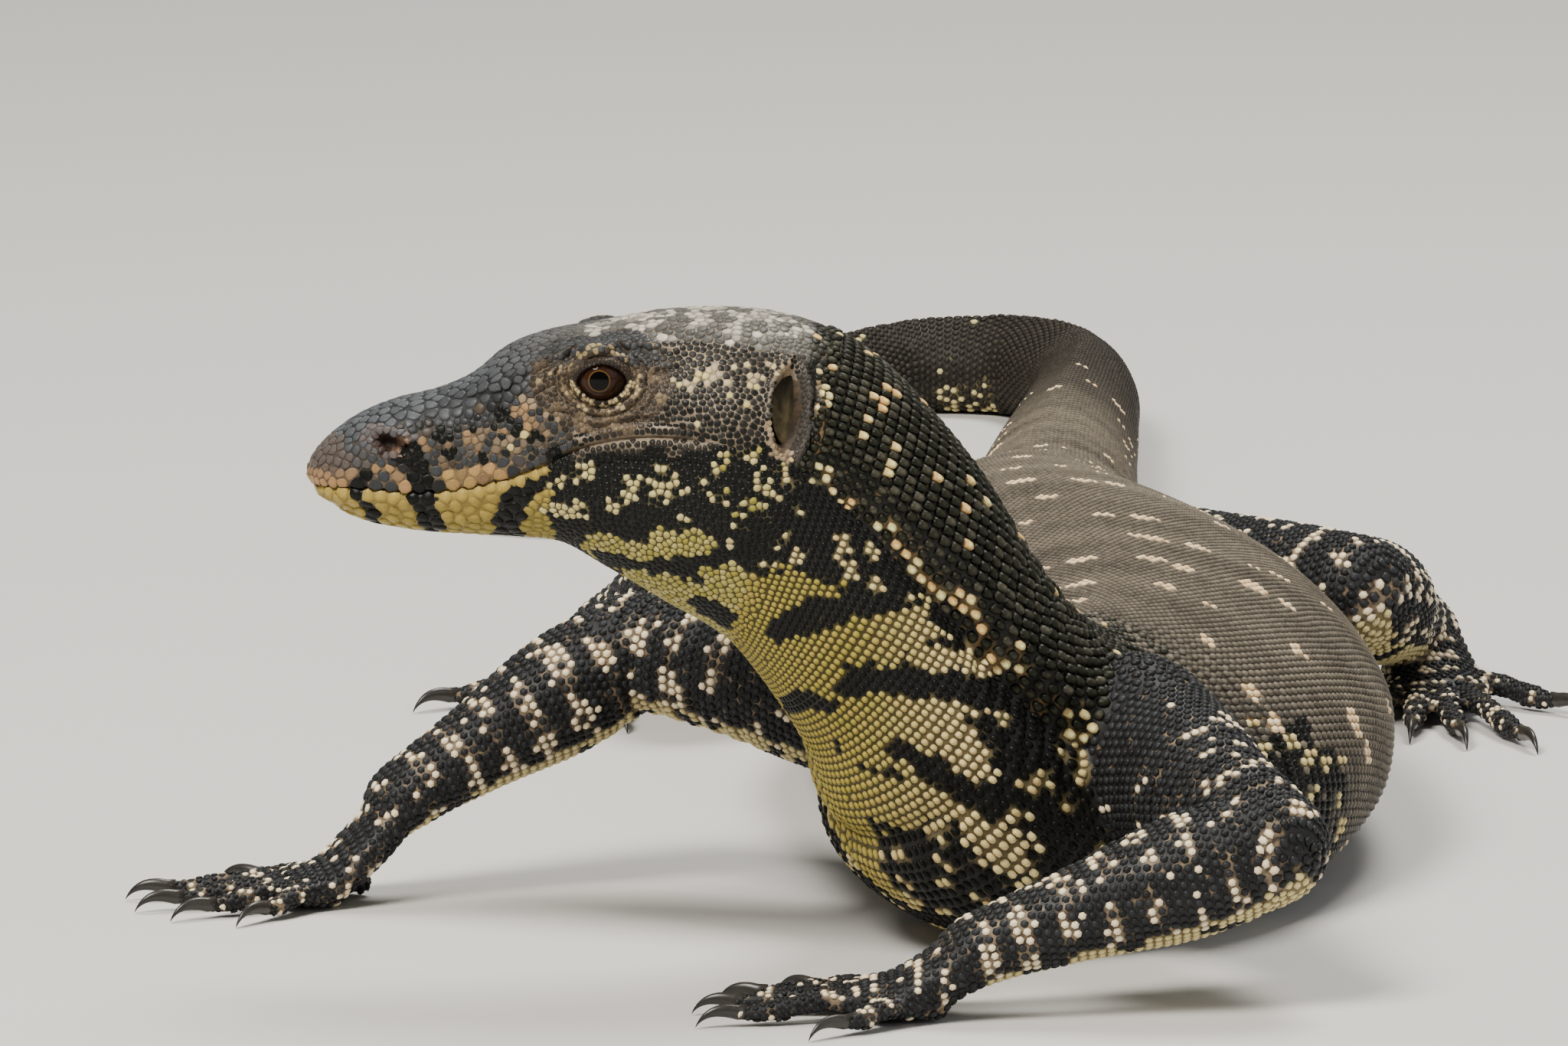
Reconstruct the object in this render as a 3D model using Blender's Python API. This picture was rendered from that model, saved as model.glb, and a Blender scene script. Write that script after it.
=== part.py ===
"""A life-size still model of a water monitor lizard, resting with its head raised.

The body is a loft between two rails, the line of the back and the line of the belly, with rounded
sections between them. The head points along -X and the hind body and tail run along +Y.
Sizes in the tables are in millimetres in the animal's own frame: the head's middle plane is y = 0
and the floor is z = 0. The objects are made in metres, with the origin under the whole animal.
"""
import math

import bmesh
import bpy
import numpy as np
from mathutils import Matrix, Vector

MM = 0.001
GAP = 0.3                       # clear space where two pieces meet
WELD = 0.002                    # points closer than this after a cut become one
SINK = 0.6                      # how far a resting belly line is pressed below the floor, then cut flat
ORIGIN = (20.9, 304.6, 0.0)      # the point of the animal's frame that becomes the model's origin

# Head and neck: dorsal point, ventral point, half width, height of the widest line,
# squareness above it and below it.
HEAD_SECTIONS = [
    ((-96.7, 0, 103.0), (-96.3, 0, 100.0), 1.8, 0.50, 2.0, 2.0),
    ((-95.3, 0, 105.6), (-94.6, 0, 97.6), 5.0, 0.50, 2.1, 2.1),
    ((-91.8, 0, 109.4), (-91.2, 0, 94.6), 8.4, 0.48, 2.2, 2.3),
    ((-86.0, 0, 113.5), (-86.0, 0, 92.0), 10.6, 0.46, 2.4, 2.5),
    ((-78.5, 0, 116.6), (-78.5, 0, 90.3), 12.0, 0.44, 2.5, 2.6),
    ((-70.0, 0, 118.7), (-70.0, 0, 89.3), 13.2, 0.43, 2.5, 2.6),
    ((-62.5, 0, 122.0), (-61.5, 0, 88.9), 14.8, 0.43, 2.5, 2.6),
    ((-56.0, 0, 127.3), (-53.5, 0, 88.5), 16.8, 0.44, 2.6, 2.5),
    ((-47.0, 0, 130.6), (-45.0, 0, 87.3), 18.8, 0.45, 2.8, 2.3),
    ((-36.7, 0, 132.2), (-37.0, 0, 82.6), 20.3, 0.50, 2.9, 2.1),
    ((-26.0, 0, 134.3), (-30.0, 0, 78.4), 21.9, 0.52, 2.7, 2.0),
    ((-15.0, 0, 135.1), (-23.5, 0, 74.4), 23.6, 0.54, 2.5, 2.0),
    ((-3.0, 0, 134.5), (-17.0, 0, 70.8), 24.6, 0.55, 2.3, 2.0),
]
NECK_SECTIONS = [
    ((8.4, 0.2, 131.4), (-11.0, 0, 66.6), 24.2, 0.54, 2.1, 2.0),
    ((19.3, 1.2, 124.4), (-6.0, 0.4, 60.5), 24.2, 0.52, 2.1, 2.0),
    ((29.8, 3.4, 113.2), (-1.5, 1.4, 54.0), 25.2, 0.50, 2.0, 2.0),
    ((39.6, 8.0, 100.0), (4.5, 3.6, 44.0), 27.0, 0.48, 2.0, 2.0),
    ((47.6, 14.5, 85.5), (9.0, 6.0, 31.0), 30.0, 0.46, 2.0, 2.0),
    ((54.6, 24.0, 73.0), (17.0, 11.0, 15.0), 34.5, 0.45, 2.0, 2.2),
    ((60.6, 38.0, 65.0), (33.0, 24.0, 2.0), 40.5, 0.44, 1.9, 2.5),
]

# Trunk: plan position, height of the back, half width.
TRUNK_SECTIONS = [
    ((66.5, 62.0), 64.0, 48.5),
    ((70.0, 100.0), 65.0, 57.0),
    ((66.0, 150.0), 65.5, 62.0),
    ((59.5, 200.0), 65.0, 60.0),
    ((54.5, 250.0), 61.5, 47.5),
    ((54.5, 300.0), 55.0, 36.0),
    ((60.0, 350.0), 46.0, 25.5),
]
TRUNK_WIDEST = 0.42
TRUNK_TOP = 1.75                # a low roof-like back
TRUNK_BELLY = 2.9               # a broad flat belly
CHEST_LEAN = 6.0                # how far the breast stands ahead of the withers, each way in plan

# Tail: its course over the floor from the vent, curling round behind the animal.
TAIL_COURSE = [
    (60, 350), (62, 420), (66, 500), (71, 575), (73, 628), (65, 664), (42, 680), (15, 661),
    (-9, 630), (-36, 606), (-64, 584), (-84, 556), (-84, 522), (-62, 500), (-30, 498), (2, 508),
    (22, 532), (16, 562), (-10, 574), (-36, 564),
]
TAIL_ROOT_WIDTH = 24.0          # half width at the vent
TAIL_TIP_WIDTH = 1.4
TAIL_ROOT_HEIGHT = 44.0
TAIL_TIP_HEIGHT = 3.0
TAIL_WIDTH_FALL = 1.55          # how fast the tail narrows
TAIL_HEIGHT_FALL = 1.25
CREST_HEIGHT = 1.6              # the ridge along the tail's top
CREST_ANGLE = 0.22              # its half width round the section, in radians
TAIL_PIECES = 5

# Limbs: joints, and the share, radius across and radius along the height at stations of each length.
FORE_LEFT = dict(root=(72, 14, 42), elbow=(98, -44, 33), wrist=(39, -53, 14), tip=(-24, -53, 3))
FORE_RIGHT = dict(root=(27, 50, 44), elbow=(-31, 82, 50), wrist=(-79, 66, 22), tip=(-140, 50, 3))
HIND_LEFT = dict(root=(64, 316, 24), elbow=(125, 254, 31), wrist=(142, 306, 13), tip=(150, 226, 3))
HIND_RIGHT = dict(root=(47, 316, 24), elbow=(-17, 256, 31), wrist=(-39, 306, 13), tip=(-60, 232, 3))
UPPER_ARM = [(0.0, 17.0, 20.0), (0.35, 15.5, 17.5), (0.7, 13.0, 14.0), (1.0, 12.0, 12.5)]
FOREARM = [(0.0, 12.0, 12.5), (0.3, 13.0, 13.0), (0.7, 10.0, 9.5), (1.0, 9.2, 7.6)]
THIGH = [(0.0, 15.0, 13.0), (0.3, 19.5, 16.5), (0.6, 17.5, 15.5), (0.85, 15.0, 14.0), (1.0, 13.5, 13.0)]
SHANK = [(0.0, 13.5, 13.0), (0.3, 14.0, 14.0), (0.7, 10.0, 10.0), (1.0, 9.4, 8.0)]
FORE_STUMP = 31.0               # length of upper arm that belongs to the chest
HIND_STUMP = 46.0               # length of thigh that belongs to the hips

WRIST = (9.4, 8.0)              # half width and half height at wrist and ankle
CAP = (0.45, 0.8, 0.97)         # where the rings of a rounded end stand, in radii

# Digits, from the inner one out: turn from the foot's line in degrees, length of the fleshy part,
# side offset of the root, and how far back along the palm the root stands, as a share.
HAND = dict(palm=24.0, half_width=11.0, half_height=6.0, thick=3.0, claw=8.5,
            digits=[(34, 15, 8.5, 0.12), (15, 21, 5.0, 0.0), (1, 25, 0.5, 0.0), (-13, 25, -4.5, 0.0),
                    (-38, 18, -8.5, 0.45)])
FOOT = dict(palm=35.0, half_width=11.5, half_height=6.5, thick=3.3, claw=9.0,
            digits=[(26, 18, 8.5, 0.12), (11, 27, 5.0, 0.0), (0, 35, 0.5, 0.0), (-11, 42, -4.5, 0.0),
                    (-44, 26, -8.0, 0.45)])
# Rings of a digit: share of its length, girth and height of the middle line in digit radii.
DIGIT_FLESH = [(-0.45, 1.0, 0.9), (0.0, 1.0, 1.25), (0.35, 0.86, 1.45), (0.7, 0.9, 1.0), (1.0, 0.62, 0.9)]
# Rings of a claw: share of its length and girth in digit radii.
CLAW_RINGS = [(0.02, 0.46), (0.5, 0.34), (1.0, 0.06)]
CLAW_TURN = 1.25                # how far round a claw curves down, in radians
CLAW_REST = 0.35                # height of a claw's tip over the floor
PALM_REST = 0.62                # height of the palm's middle over the floor, in palm half heights
PALM_THIN = 0.72                # half height of the palm at the digits, in palm half heights

# Head features.
EYE = dict(at=(-36.9, 14.6, 123.6), radius=6.3, opening=(5.3, 4.3), lid=1.25)
NOSTRIL = dict(at=(-78.6, 12.2, 109.3), radii=(3.6, 3.2, 1.9), tilt=16.0)
EAR = dict(at=(0.3, 26.2, 117.6), radii=(3.2, 5.6, 8.3), tilt=4.0)
EARDRUM = dict(depth=3.6, radii=(2.0, 0.7, 6.2))
MOUTH_LINE = [(-101.0, 99.2), (-95.4, 99.2), (-86.1, 99.7), (-74.3, 99.2), (-64.5, 100.3), (-57.2, 102.2),
              (-49.3, 105.4), (-42.1, 109.2), (-36.0, 111.0), (-28.0, 112.2), (-20.0, 112.2),
              (-12.6, 111.2)]
JAW_BACK = [(-8.0, 107.0), (-8.0, 100.0), (-14.0, 92.5), (-25.0, 86.5), (-36.0, 80.0), (-42.0, 70.0)]
MOUTH_GAP = 0.35

# Colours, as linear values.
DARK_SKIN = (0.035, 0.036, 0.034)
GREY_SKIN = (0.085, 0.080, 0.066)
PALE_SKIN = (0.42, 0.33, 0.17)
EYE_COLOUR = (0.03, 0.018, 0.008)
EAR_COLOUR = (0.07, 0.05, 0.035)


def spline(knots, values, at):
    """A smooth curve through values at rising knots, each slope taken from its neighbours."""
    knots = np.asarray(knots, float)
    values = np.asarray(values, float).reshape(len(knots), -1)
    step = np.diff(knots)[:, None]
    rise = np.diff(values, axis=0) / step
    slope = np.empty_like(values)
    slope[1:-1] = (rise[:-1] * step[1:] + rise[1:] * step[:-1]) / (step[:-1] + step[1:])
    slope[0] = rise[0]
    slope[-1] = rise[-1]
    at = np.atleast_1d(np.asarray(at, float))
    cell = np.clip(np.searchsorted(knots, at, side="right") - 1, 0, len(knots) - 2)
    width = step[cell]
    t = ((at - knots[cell])[:, None]) / width
    a = 2 * t**3 - 3 * t**2 + 1
    b = t**3 - 2 * t**2 + t
    c = -2 * t**3 + 3 * t**2
    d = t**3 - t**2
    return a * values[cell] + b * width * slope[cell] + c * values[cell + 1] + d * width * slope[cell + 1]


def unit(rows):
    """Rows scaled to length one."""
    return rows / np.linalg.norm(rows, axis=-1, keepdims=True)


def tail_sections(count=26):
    """Rail points and section sizes along the tail, from just behind the vent to the tip."""
    course = np.array(TAIL_COURSE, float)
    knots = np.concatenate(([0.0], np.cumsum(np.linalg.norm(np.diff(course, axis=0), axis=1))))
    rows = []
    for i in range(1, count + 1):
        t = i / count
        x, y = spline(knots, course, knots[-1] * t)[0]
        width = TAIL_TIP_WIDTH + (TAIL_ROOT_WIDTH - TAIL_TIP_WIDTH) * (1 - t) ** TAIL_WIDTH_FALL
        height = TAIL_TIP_HEIGHT + (TAIL_ROOT_HEIGHT - TAIL_TIP_HEIGHT) * (1 - t) ** TAIL_HEIGHT_FALL
        rows.append(((x, y, height), (x, y, -SINK), width, 0.44, 1.85, 2.3))
    return rows


def body_table():
    """Every section of head, neck, trunk and tail, as arrays with a running length."""
    rows = HEAD_SECTIONS + NECK_SECTIONS
    for (x, y), height, width in TRUNK_SECTIONS:
        lean = CHEST_LEAN if (x, y) == TRUNK_SECTIONS[0][0] else 0.0
        rows = rows + [((x, y, height), (x - lean, y - lean, -SINK), width,
                        TRUNK_WIDEST, TRUNK_TOP, TRUNK_BELLY)]
    rows = rows + tail_sections()
    dorsal = np.array([row[0] for row in rows], float)
    ventral = np.array([row[1] for row in rows], float)
    sizes = np.array([row[2:] for row in rows], float)
    middle = (dorsal + ventral) / 2
    knots = np.concatenate(([0.0], np.cumsum(np.linalg.norm(np.diff(middle, axis=0), axis=1))))
    return dict(knots=knots, dorsal=dorsal, ventral=ventral, sizes=sizes)


BODY = body_table()
NAPE = BODY["knots"][len(HEAD_SECTIONS)]                 # just behind the ear
NECK_START = BODY["knots"][len(HEAD_SECTIONS) + 1] - 2.0
GIRDLE = BODY["knots"][len(HEAD_SECTIONS) + len(NECK_SECTIONS) - 1]
VENT = BODY["knots"][len(HEAD_SECTIONS) + len(NECK_SECTIONS) + len(TRUNK_SECTIONS) - 1]
TAIL_TIP = BODY["knots"][-1]
CHEST_START = GIRDLE - 30.0
CHEST_END = GIRDLE + 76.0
HIPS_START = VENT - 108.0
SHOULDER = GIRDLE + 20.0
HIP = VENT - 95.0
FLANK_REACH = (60.0, 100.0)      # length of flank, ahead of and behind a limb, that trims its upper length
TAIL_CUT_POWER = 0.92           # makes the tail's pieces a little longer towards its tip
TAIL_SIDES = (24, 20, 18, 14, 12)

# Soft bumps and hollows of the surface: place along the body, angle from the back line in
# radians, spread of each, height.
BUMPS = [
    (57.5, 0.78, 9.0, 0.20, 1.3),      # brow
    (42.0, 1.05, 8.0, 0.22, -1.1),     # hollow in front of the eye
    (70.0, 0.95, 8.0, 0.20, -0.9),     # hollow behind the eye
    (88.0, 1.55, 12.0, 0.45, 1.8),     # jaw muscle
    (18.0, 1.05, 6.0, 0.35, 0.8),      # swelling round the nostril
]
# The fold along the side of the neck, and the fold under the throat.
NECK_FOLD = dict(start=3.0, end=89.0, angles=(1.42, 1.10), width=0.10, depth=2.4, swell=1.6)
GULAR_FOLD = dict(at=59.0, width=3.0, depth=2.0)


def relief(s, angle):
    """How far folds, brows and muscles lift the surface at a length and an angle."""
    side = np.abs(np.arctan2(np.sin(angle), np.cos(angle)))
    lift = np.zeros(np.broadcast(s, angle).shape)
    for place, turn, spread, fan, height in BUMPS:
        lift += height * np.exp(-((s - place) / spread) ** 2 - ((side - turn) / fan) ** 2)
    fold = NECK_FOLD
    t = np.clip((s - NAPE - fold["start"]) / (fold["end"] - fold["start"]), 0, 1)
    line = fold["angles"][0] + (fold["angles"][1] - fold["angles"][0]) * t
    fade = np.sin(np.pi * t) ** 0.5
    lift -= fold["depth"] * fade * np.exp(-((side - line) / fold["width"]) ** 2)
    lift += fold["swell"] * fade * np.exp(-((side - line + 2.2 * fold["width"]) / (1.6 * fold["width"])) ** 2)
    gular = GULAR_FOLD
    under = np.clip((side - 1.7) / 0.6, 0, 1)
    lift -= gular["depth"] * under * np.exp(-((s - NAPE - gular["at"]) / gular["width"]) ** 2)
    crest = np.clip((s - VENT - 60.0) / 120.0, 0, 1) * np.clip((TAIL_TIP - s) / 300.0, 0, 1)
    lift += CREST_HEIGHT * crest * np.exp(-(side / CREST_ANGLE) ** 2)
    return lift


def body_frame(s):
    """Rails, axes and sizes of the sections at lengths s."""
    dorsal = spline(BODY["knots"], BODY["dorsal"], s)
    ventral = spline(BODY["knots"], BODY["ventral"], s)
    sizes = spline(BODY["knots"], BODY["sizes"], s)
    ahead = (spline(BODY["knots"], BODY["dorsal"], s + 1.0) + spline(BODY["knots"], BODY["ventral"], s + 1.0)) / 2
    back = (spline(BODY["knots"], BODY["dorsal"], s - 1.0) + spline(BODY["knots"], BODY["ventral"], s - 1.0)) / 2
    along = unit(ahead - back)
    up = unit(dorsal - ventral)
    left = unit(np.cross(along, up))
    return dorsal, ventral, sizes, along, up, left


def body_points(s, angle, grow=0.0):
    """Points of the body's surface: one row of points for each length s."""
    s = np.atleast_1d(np.asarray(s, float))
    angle = np.asarray(angle, float)
    dorsal, ventral, sizes, _, up, left = body_frame(s)
    height = np.linalg.norm(dorsal - ventral, axis=1)
    half, widest, top, bottom = sizes.T
    core = ventral + up * (widest * height)[:, None]
    sine = np.sin(angle)[None, :]
    cosine = np.cos(angle)[None, :]
    power = np.where(cosine >= 0, top[:, None], bottom[:, None])
    across = np.sign(sine) * np.abs(sine) ** (2 / power) * half[:, None]
    reach = np.where(cosine >= 0, ((1 - widest) * height)[:, None], (widest * height)[:, None])
    rise = np.sign(cosine) * np.abs(cosine) ** (2 / power) * reach
    out = np.sqrt(across**2 + rise**2) + 1e-6
    scale = 1 + (relief(s[:, None], angle[None, :]) + grow) / np.maximum(out, 3.0)
    points = core[:, None, :] + left[:, None, :] * (across * scale)[..., None]
    points = points + up[:, None, :] * (rise * scale)[..., None]
    points[..., 2] = np.maximum(points[..., 2], 0.0)
    return points


def place(points):
    """Points of the animal's frame, in metres in the model's frame."""
    return (np.asarray(points, float) - np.array(ORIGIN)) * MM


COLLECTION = None
MATERIALS = {}


def start_scene():
    """Empty scene with one collection for the animal."""
    global COLLECTION
    for old in list(bpy.data.objects):
        bpy.data.objects.remove(old, do_unlink=True)
    COLLECTION = bpy.data.collections.new("water_monitor_lizard")
    bpy.context.scene.collection.children.link(COLLECTION)


def material(name, colour, roughness):
    """A plain surface colour, made once."""
    if name not in MATERIALS:
        made = bpy.data.materials.new(name)
        made.use_nodes = True
        shader = made.node_tree.nodes["Principled BSDF"]
        shader.inputs["Base Color"].default_value = (*colour, 1.0)
        shader.inputs["Roughness"].default_value = roughness
        MATERIALS[name] = made
    return MATERIALS[name]


def mesh_object(name, mesh, look=None):
    """A mesh as a named object of the animal."""
    made = bpy.data.objects.new(name, mesh)
    COLLECTION.objects.link(made)
    if look:
        mesh.materials.clear()
        mesh.materials.append(material(*look))
    return made


def loft(name, rings, look=None):
    """A closed body through rings of points, each ring one row, with flat ends."""
    rings = place(rings)
    count, around = rings.shape[:2]
    bm = bmesh.new()
    grid = [[bm.verts.new(point) for point in ring] for ring in rings]
    for i in range(count - 1):
        for j in range(around):
            k = (j + 1) % around
            bm.faces.new((grid[i][j], grid[i + 1][j], grid[i + 1][k], grid[i][k]))
    for ring in (grid[0], grid[-1][::-1]):
        middle = bm.verts.new(sum((vert.co for vert in ring), Vector()) / around)
        for j in range(around):
            bm.faces.new((middle, ring[j], ring[(j + 1) % around]))
    bmesh.ops.recalc_face_normals(bm, faces=bm.faces)
    mesh = bpy.data.meshes.new(name)
    bm.to_mesh(mesh)
    bm.free()
    return mesh_object(name, mesh, look)


def evaluated(target):
    """Bake an object's modifiers into its mesh."""
    bpy.context.view_layer.update()
    baked = bpy.data.meshes.new_from_object(target.evaluated_get(bpy.context.evaluated_depsgraph_get()))
    old = target.data
    target.modifiers.clear()
    target.data = baked
    bpy.data.meshes.remove(old)


def boolean(target, tools, operation, solver="EXACT"):
    """Join to, or cut from, target all the closed meshes in tools, and remove the tools."""
    group = bpy.data.collections.new("tools")
    bpy.context.scene.collection.children.link(group)
    for tool in tools:
        COLLECTION.objects.unlink(tool)
        group.objects.link(tool)
    cut = target.modifiers.new("boolean", "BOOLEAN")
    cut.operation = operation
    cut.solver = solver
    cut.operand_type = "COLLECTION"
    cut.collection = group
    evaluated(target)
    for tool in tools:
        bpy.data.objects.remove(tool, do_unlink=True)
    bpy.data.collections.remove(group)


def shells(target):
    """The faces of an object's mesh in connected groups, largest volume first."""
    bm = bmesh.new()
    bm.from_mesh(target.data)
    bmesh.ops.remove_doubles(bm, verts=bm.verts, dist=WELD * MM)
    for face in bm.faces:
        face.tag = False
    groups = []
    for seed in bm.faces:
        if seed.tag:
            continue
        seed.tag = True
        stack = [seed]
        group = []
        while stack:
            face = stack.pop()
            group.append(face)
            for edge in face.edges:
                for other in edge.link_faces:
                    if not other.tag:
                        other.tag = True
                        stack.append(other)
        part = bmesh.new()
        index = {}
        for face in group:
            for vert in face.verts:
                if vert not in index:
                    index[vert] = part.verts.new(vert.co)
            part.faces.new([index[vert] for vert in face.verts])
        bmesh.ops.recalc_face_normals(part, faces=part.faces)
        if part.calc_volume(signed=True) < 0:
            bmesh.ops.reverse_faces(part, faces=part.faces)
        groups.append(part)
    bm.free()
    groups.sort(key=lambda part: -part.calc_volume())
    return groups


def keep_largest(target):
    """Drop loose scraps and sealed hollows, and leave one closed surface."""
    groups = shells(target)
    groups[0].to_mesh(target.data)
    for part in groups:
        part.free()


def ellipsoid(name, centre, radii, tilt=0.0, segments=20, rings=12):
    """A closed ellipsoid, turned about the Y axis by tilt degrees."""
    bm = bmesh.new()
    bmesh.ops.create_uvsphere(bm, u_segments=segments, v_segments=rings, radius=1.0)
    shape = Matrix.Diagonal((*(radius * MM for radius in radii), 1.0))
    turn = Matrix.Rotation(math.radians(tilt), 4, "Y")
    bmesh.ops.transform(bm, matrix=Matrix.Translation(place(centre)) @ turn @ shape, verts=bm.verts)
    mesh = bpy.data.meshes.new(name)
    bm.to_mesh(mesh)
    bm.free()
    return mesh_object(name, mesh)


def torus(name, centre, radii, tube, segments=18, sides=5):
    """A ring in the XZ plane with unlike radii."""
    turn = np.linspace(0, 2 * math.pi, segments, endpoint=False)
    roll = np.linspace(0, 2 * math.pi, sides, endpoint=False)
    bm = bmesh.new()
    grid = []
    for a in turn:
        row = []
        for b in roll:
            wide = tube * math.cos(b)
            point = (centre[0] + (radii[0] + wide) * math.cos(a), centre[1] + tube * math.sin(b),
                     centre[2] + (radii[1] + wide) * math.sin(a))
            row.append(bm.verts.new(place(point)))
        grid.append(row)
    for i in range(segments):
        for j in range(sides):
            n = (i + 1) % segments
            k = (j + 1) % sides
            bm.faces.new((grid[i][j], grid[n][j], grid[n][k], grid[i][k]))
    bmesh.ops.recalc_face_normals(bm, faces=bm.faces)
    mesh = bpy.data.meshes.new(name)
    bm.to_mesh(mesh)
    bm.free()
    return mesh_object(name, mesh)


def ribbon(name, line, thick, reach):
    """A thin curved sheet: a line in the XZ plane, thickened and drawn out along Y."""
    line = np.array(line, float)
    knots = np.concatenate(([0.0], np.cumsum(np.linalg.norm(np.diff(line, axis=0), axis=1))))
    line = spline(knots, line, np.linspace(0, knots[-1], 30))
    along = unit(np.gradient(line, axis=0))
    normal = np.stack((-along[:, 1], along[:, 0]), axis=1) * thick / 2
    outline = np.concatenate((line + normal, (line - normal)[::-1]))
    bm = bmesh.new()
    sides = [[bm.verts.new(place((x, y, z))) for x, z in outline] for y in (-reach, reach)]
    count = len(line)
    total = len(outline)
    for i in range(total):
        k = (i + 1) % total
        bm.faces.new((sides[0][i], sides[0][k], sides[1][k], sides[1][i]))
    for side in sides:
        for i in range(count - 1):
            bm.faces.new((side[i], side[i + 1], side[total - 2 - i], side[total - 1 - i]))
    bmesh.ops.recalc_face_normals(bm, faces=bm.faces)
    mesh = bpy.data.meshes.new(name)
    bm.to_mesh(mesh)
    bm.free()
    return mesh_object(name, mesh)


def around(count):
    """Angles of a ring, starting at the line of the back."""
    return np.linspace(0, 2 * math.pi, count, endpoint=False)


def body_piece(name, start, end, rings, sides, look):
    """A length of the body between two section planes, half a gap short at each end."""
    s = np.linspace(start, end, rings)
    s[0] += GAP / 2
    s[-1] -= GAP / 2
    return loft(name, body_points(s, around(sides)), look)


def limb_rings(start, end, profile, sides, begin=0.0, finish=1.0, count=7, rounded="", grow=0.0):
    """Rings round a straight length of limb, with a rounded root or end where it is asked for."""
    start = np.array(start, float)
    end = np.array(end, float)
    axis = unit(end - start)
    side = unit(np.cross((0, 0, 1.0), axis))
    up = np.cross(axis, side)
    share, across, height = np.array(profile, float).T
    angle = around(sides)
    rings = []

    def add(centre, a, b):
        ring = centre + np.outer(np.sin(angle) * a, side) + np.outer(np.cos(angle) * b, up)
        ring[:, 2] = np.maximum(ring[:, 2], 0.0)
        rings.append(ring)

    if rounded == "root":
        for lift in CAP[::-1]:
            shrink = math.sqrt(1 - lift**2)
            add(start - axis * across[0] * lift, across[0] * shrink, height[0] * shrink)
    for t in np.linspace(begin, finish, count):
        a, b = spline(share, np.stack((across, height), axis=1), t)[0] + grow
        add(start + (end - start) * t, a, b)
    if rounded == "end":
        for lift in CAP:
            shrink = math.sqrt(1 - lift**2)
            add(end + axis * a * lift, a * shrink, b * shrink)
    return np.array(rings)


def foot_rings(limb, plan, sides, grow=0.0):
    """Rings of the palm, from its rounded heel at the wrist to the roots of the digits."""
    wrist = np.array(limb["wrist"], float)
    tip = np.array(limb["tip"], float)
    ahead = unit((tip - wrist) * (1, 1, 0))
    side = np.cross((0, 0, 1.0), ahead)
    rings = []
    angle = around(sides)
    for lift in CAP[::-1]:
        shrink = math.sqrt(1 - lift**2)
        ring = wrist - ahead * (WRIST[0] + grow) * lift
        ring = ring + np.outer(np.sin(angle) * (WRIST[0] + grow) * shrink, side)
        ring = ring + np.outer(np.cos(angle) * (WRIST[1] + grow) * shrink, (0, 0, 1.0))
        rings.append(ring)
    for t in np.linspace(0, 1, 6):
        centre = wrist + ahead * plan["palm"] * t
        rest = plan["half_height"] * PALM_REST
        centre[2] = wrist[2] + (rest - wrist[2]) * min(1.0, t * 1.35) ** 0.8
        wide = WRIST[0] + (plan["half_width"] - WRIST[0]) * min(1.0, 1.6 * t) + grow
        high = WRIST[1] + (plan["half_height"] * PALM_THIN - WRIST[1]) * t + grow
        ring = centre + np.outer(np.sin(angle) * wide, side)
        ring = ring + np.outer(np.cos(angle) * high, (0, 0, 1.0))
        rings.append(ring)
    rings = np.array(rings)
    rings[..., 2] = np.maximum(rings[..., 2], 0.0)
    return rings, ahead, side


def digit_rings(root, ahead, side, length, plan, sides=6):
    """Rings of one digit and its claw: an arched finger, then a thin curved claw."""
    thick = plan["thick"]
    rings = []
    angle = around(sides)
    for t, girth, lift in DIGIT_FLESH:
        centre = root + ahead * length * t
        centre[2] = thick * lift
        radius = thick * girth
        ring = centre + np.outer(np.sin(angle) * radius, side) + np.outer(np.cos(angle) * radius, (0, 0, 1.0))
        rings.append(ring)
    for t, girth in CLAW_RINGS:
        centre = root + ahead * (length + plan["claw"] * math.sin(t * CLAW_TURN) / math.sin(CLAW_TURN))
        centre[2] = thick * (0.95 + 0.35 * math.sin(math.pi * t)) - (thick * 0.95 - CLAW_REST) * t**1.6
        radius = thick * girth
        ring = centre + np.outer(np.sin(angle) * radius, side)
        ring = ring + np.outer(np.cos(angle) * radius * 1.25, (0, 0, 1.0))
        rings.append(ring)
    rings = np.array(rings)
    rings[..., 2] = np.maximum(rings[..., 2], 0.0)
    return rings


def make_foot(name, limb, plan, inner, look):
    """A hand or foot: palm and five clawed digits fused into one body."""
    rings, ahead, side = foot_rings(limb, plan, 12)
    palm = loft(name, rings, look)
    front = np.array(limb["wrist"], float) + ahead * plan["palm"]
    digits = []
    for number, (turn, length, offset, setback) in enumerate(plan["digits"]):
        bend = math.radians(turn) * inner
        line = ahead * math.cos(bend) + side * math.sin(bend)
        root = front + side * offset * inner - ahead * plan["palm"] * setback
        across = np.cross((0, 0, 1.0), line)
        digits.append(loft(f"{name}_digit_{number}", digit_rings(root, line, across, length, plan)))
    boolean(palm, digits, "UNION")
    keep_largest(palm)
    return palm


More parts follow.
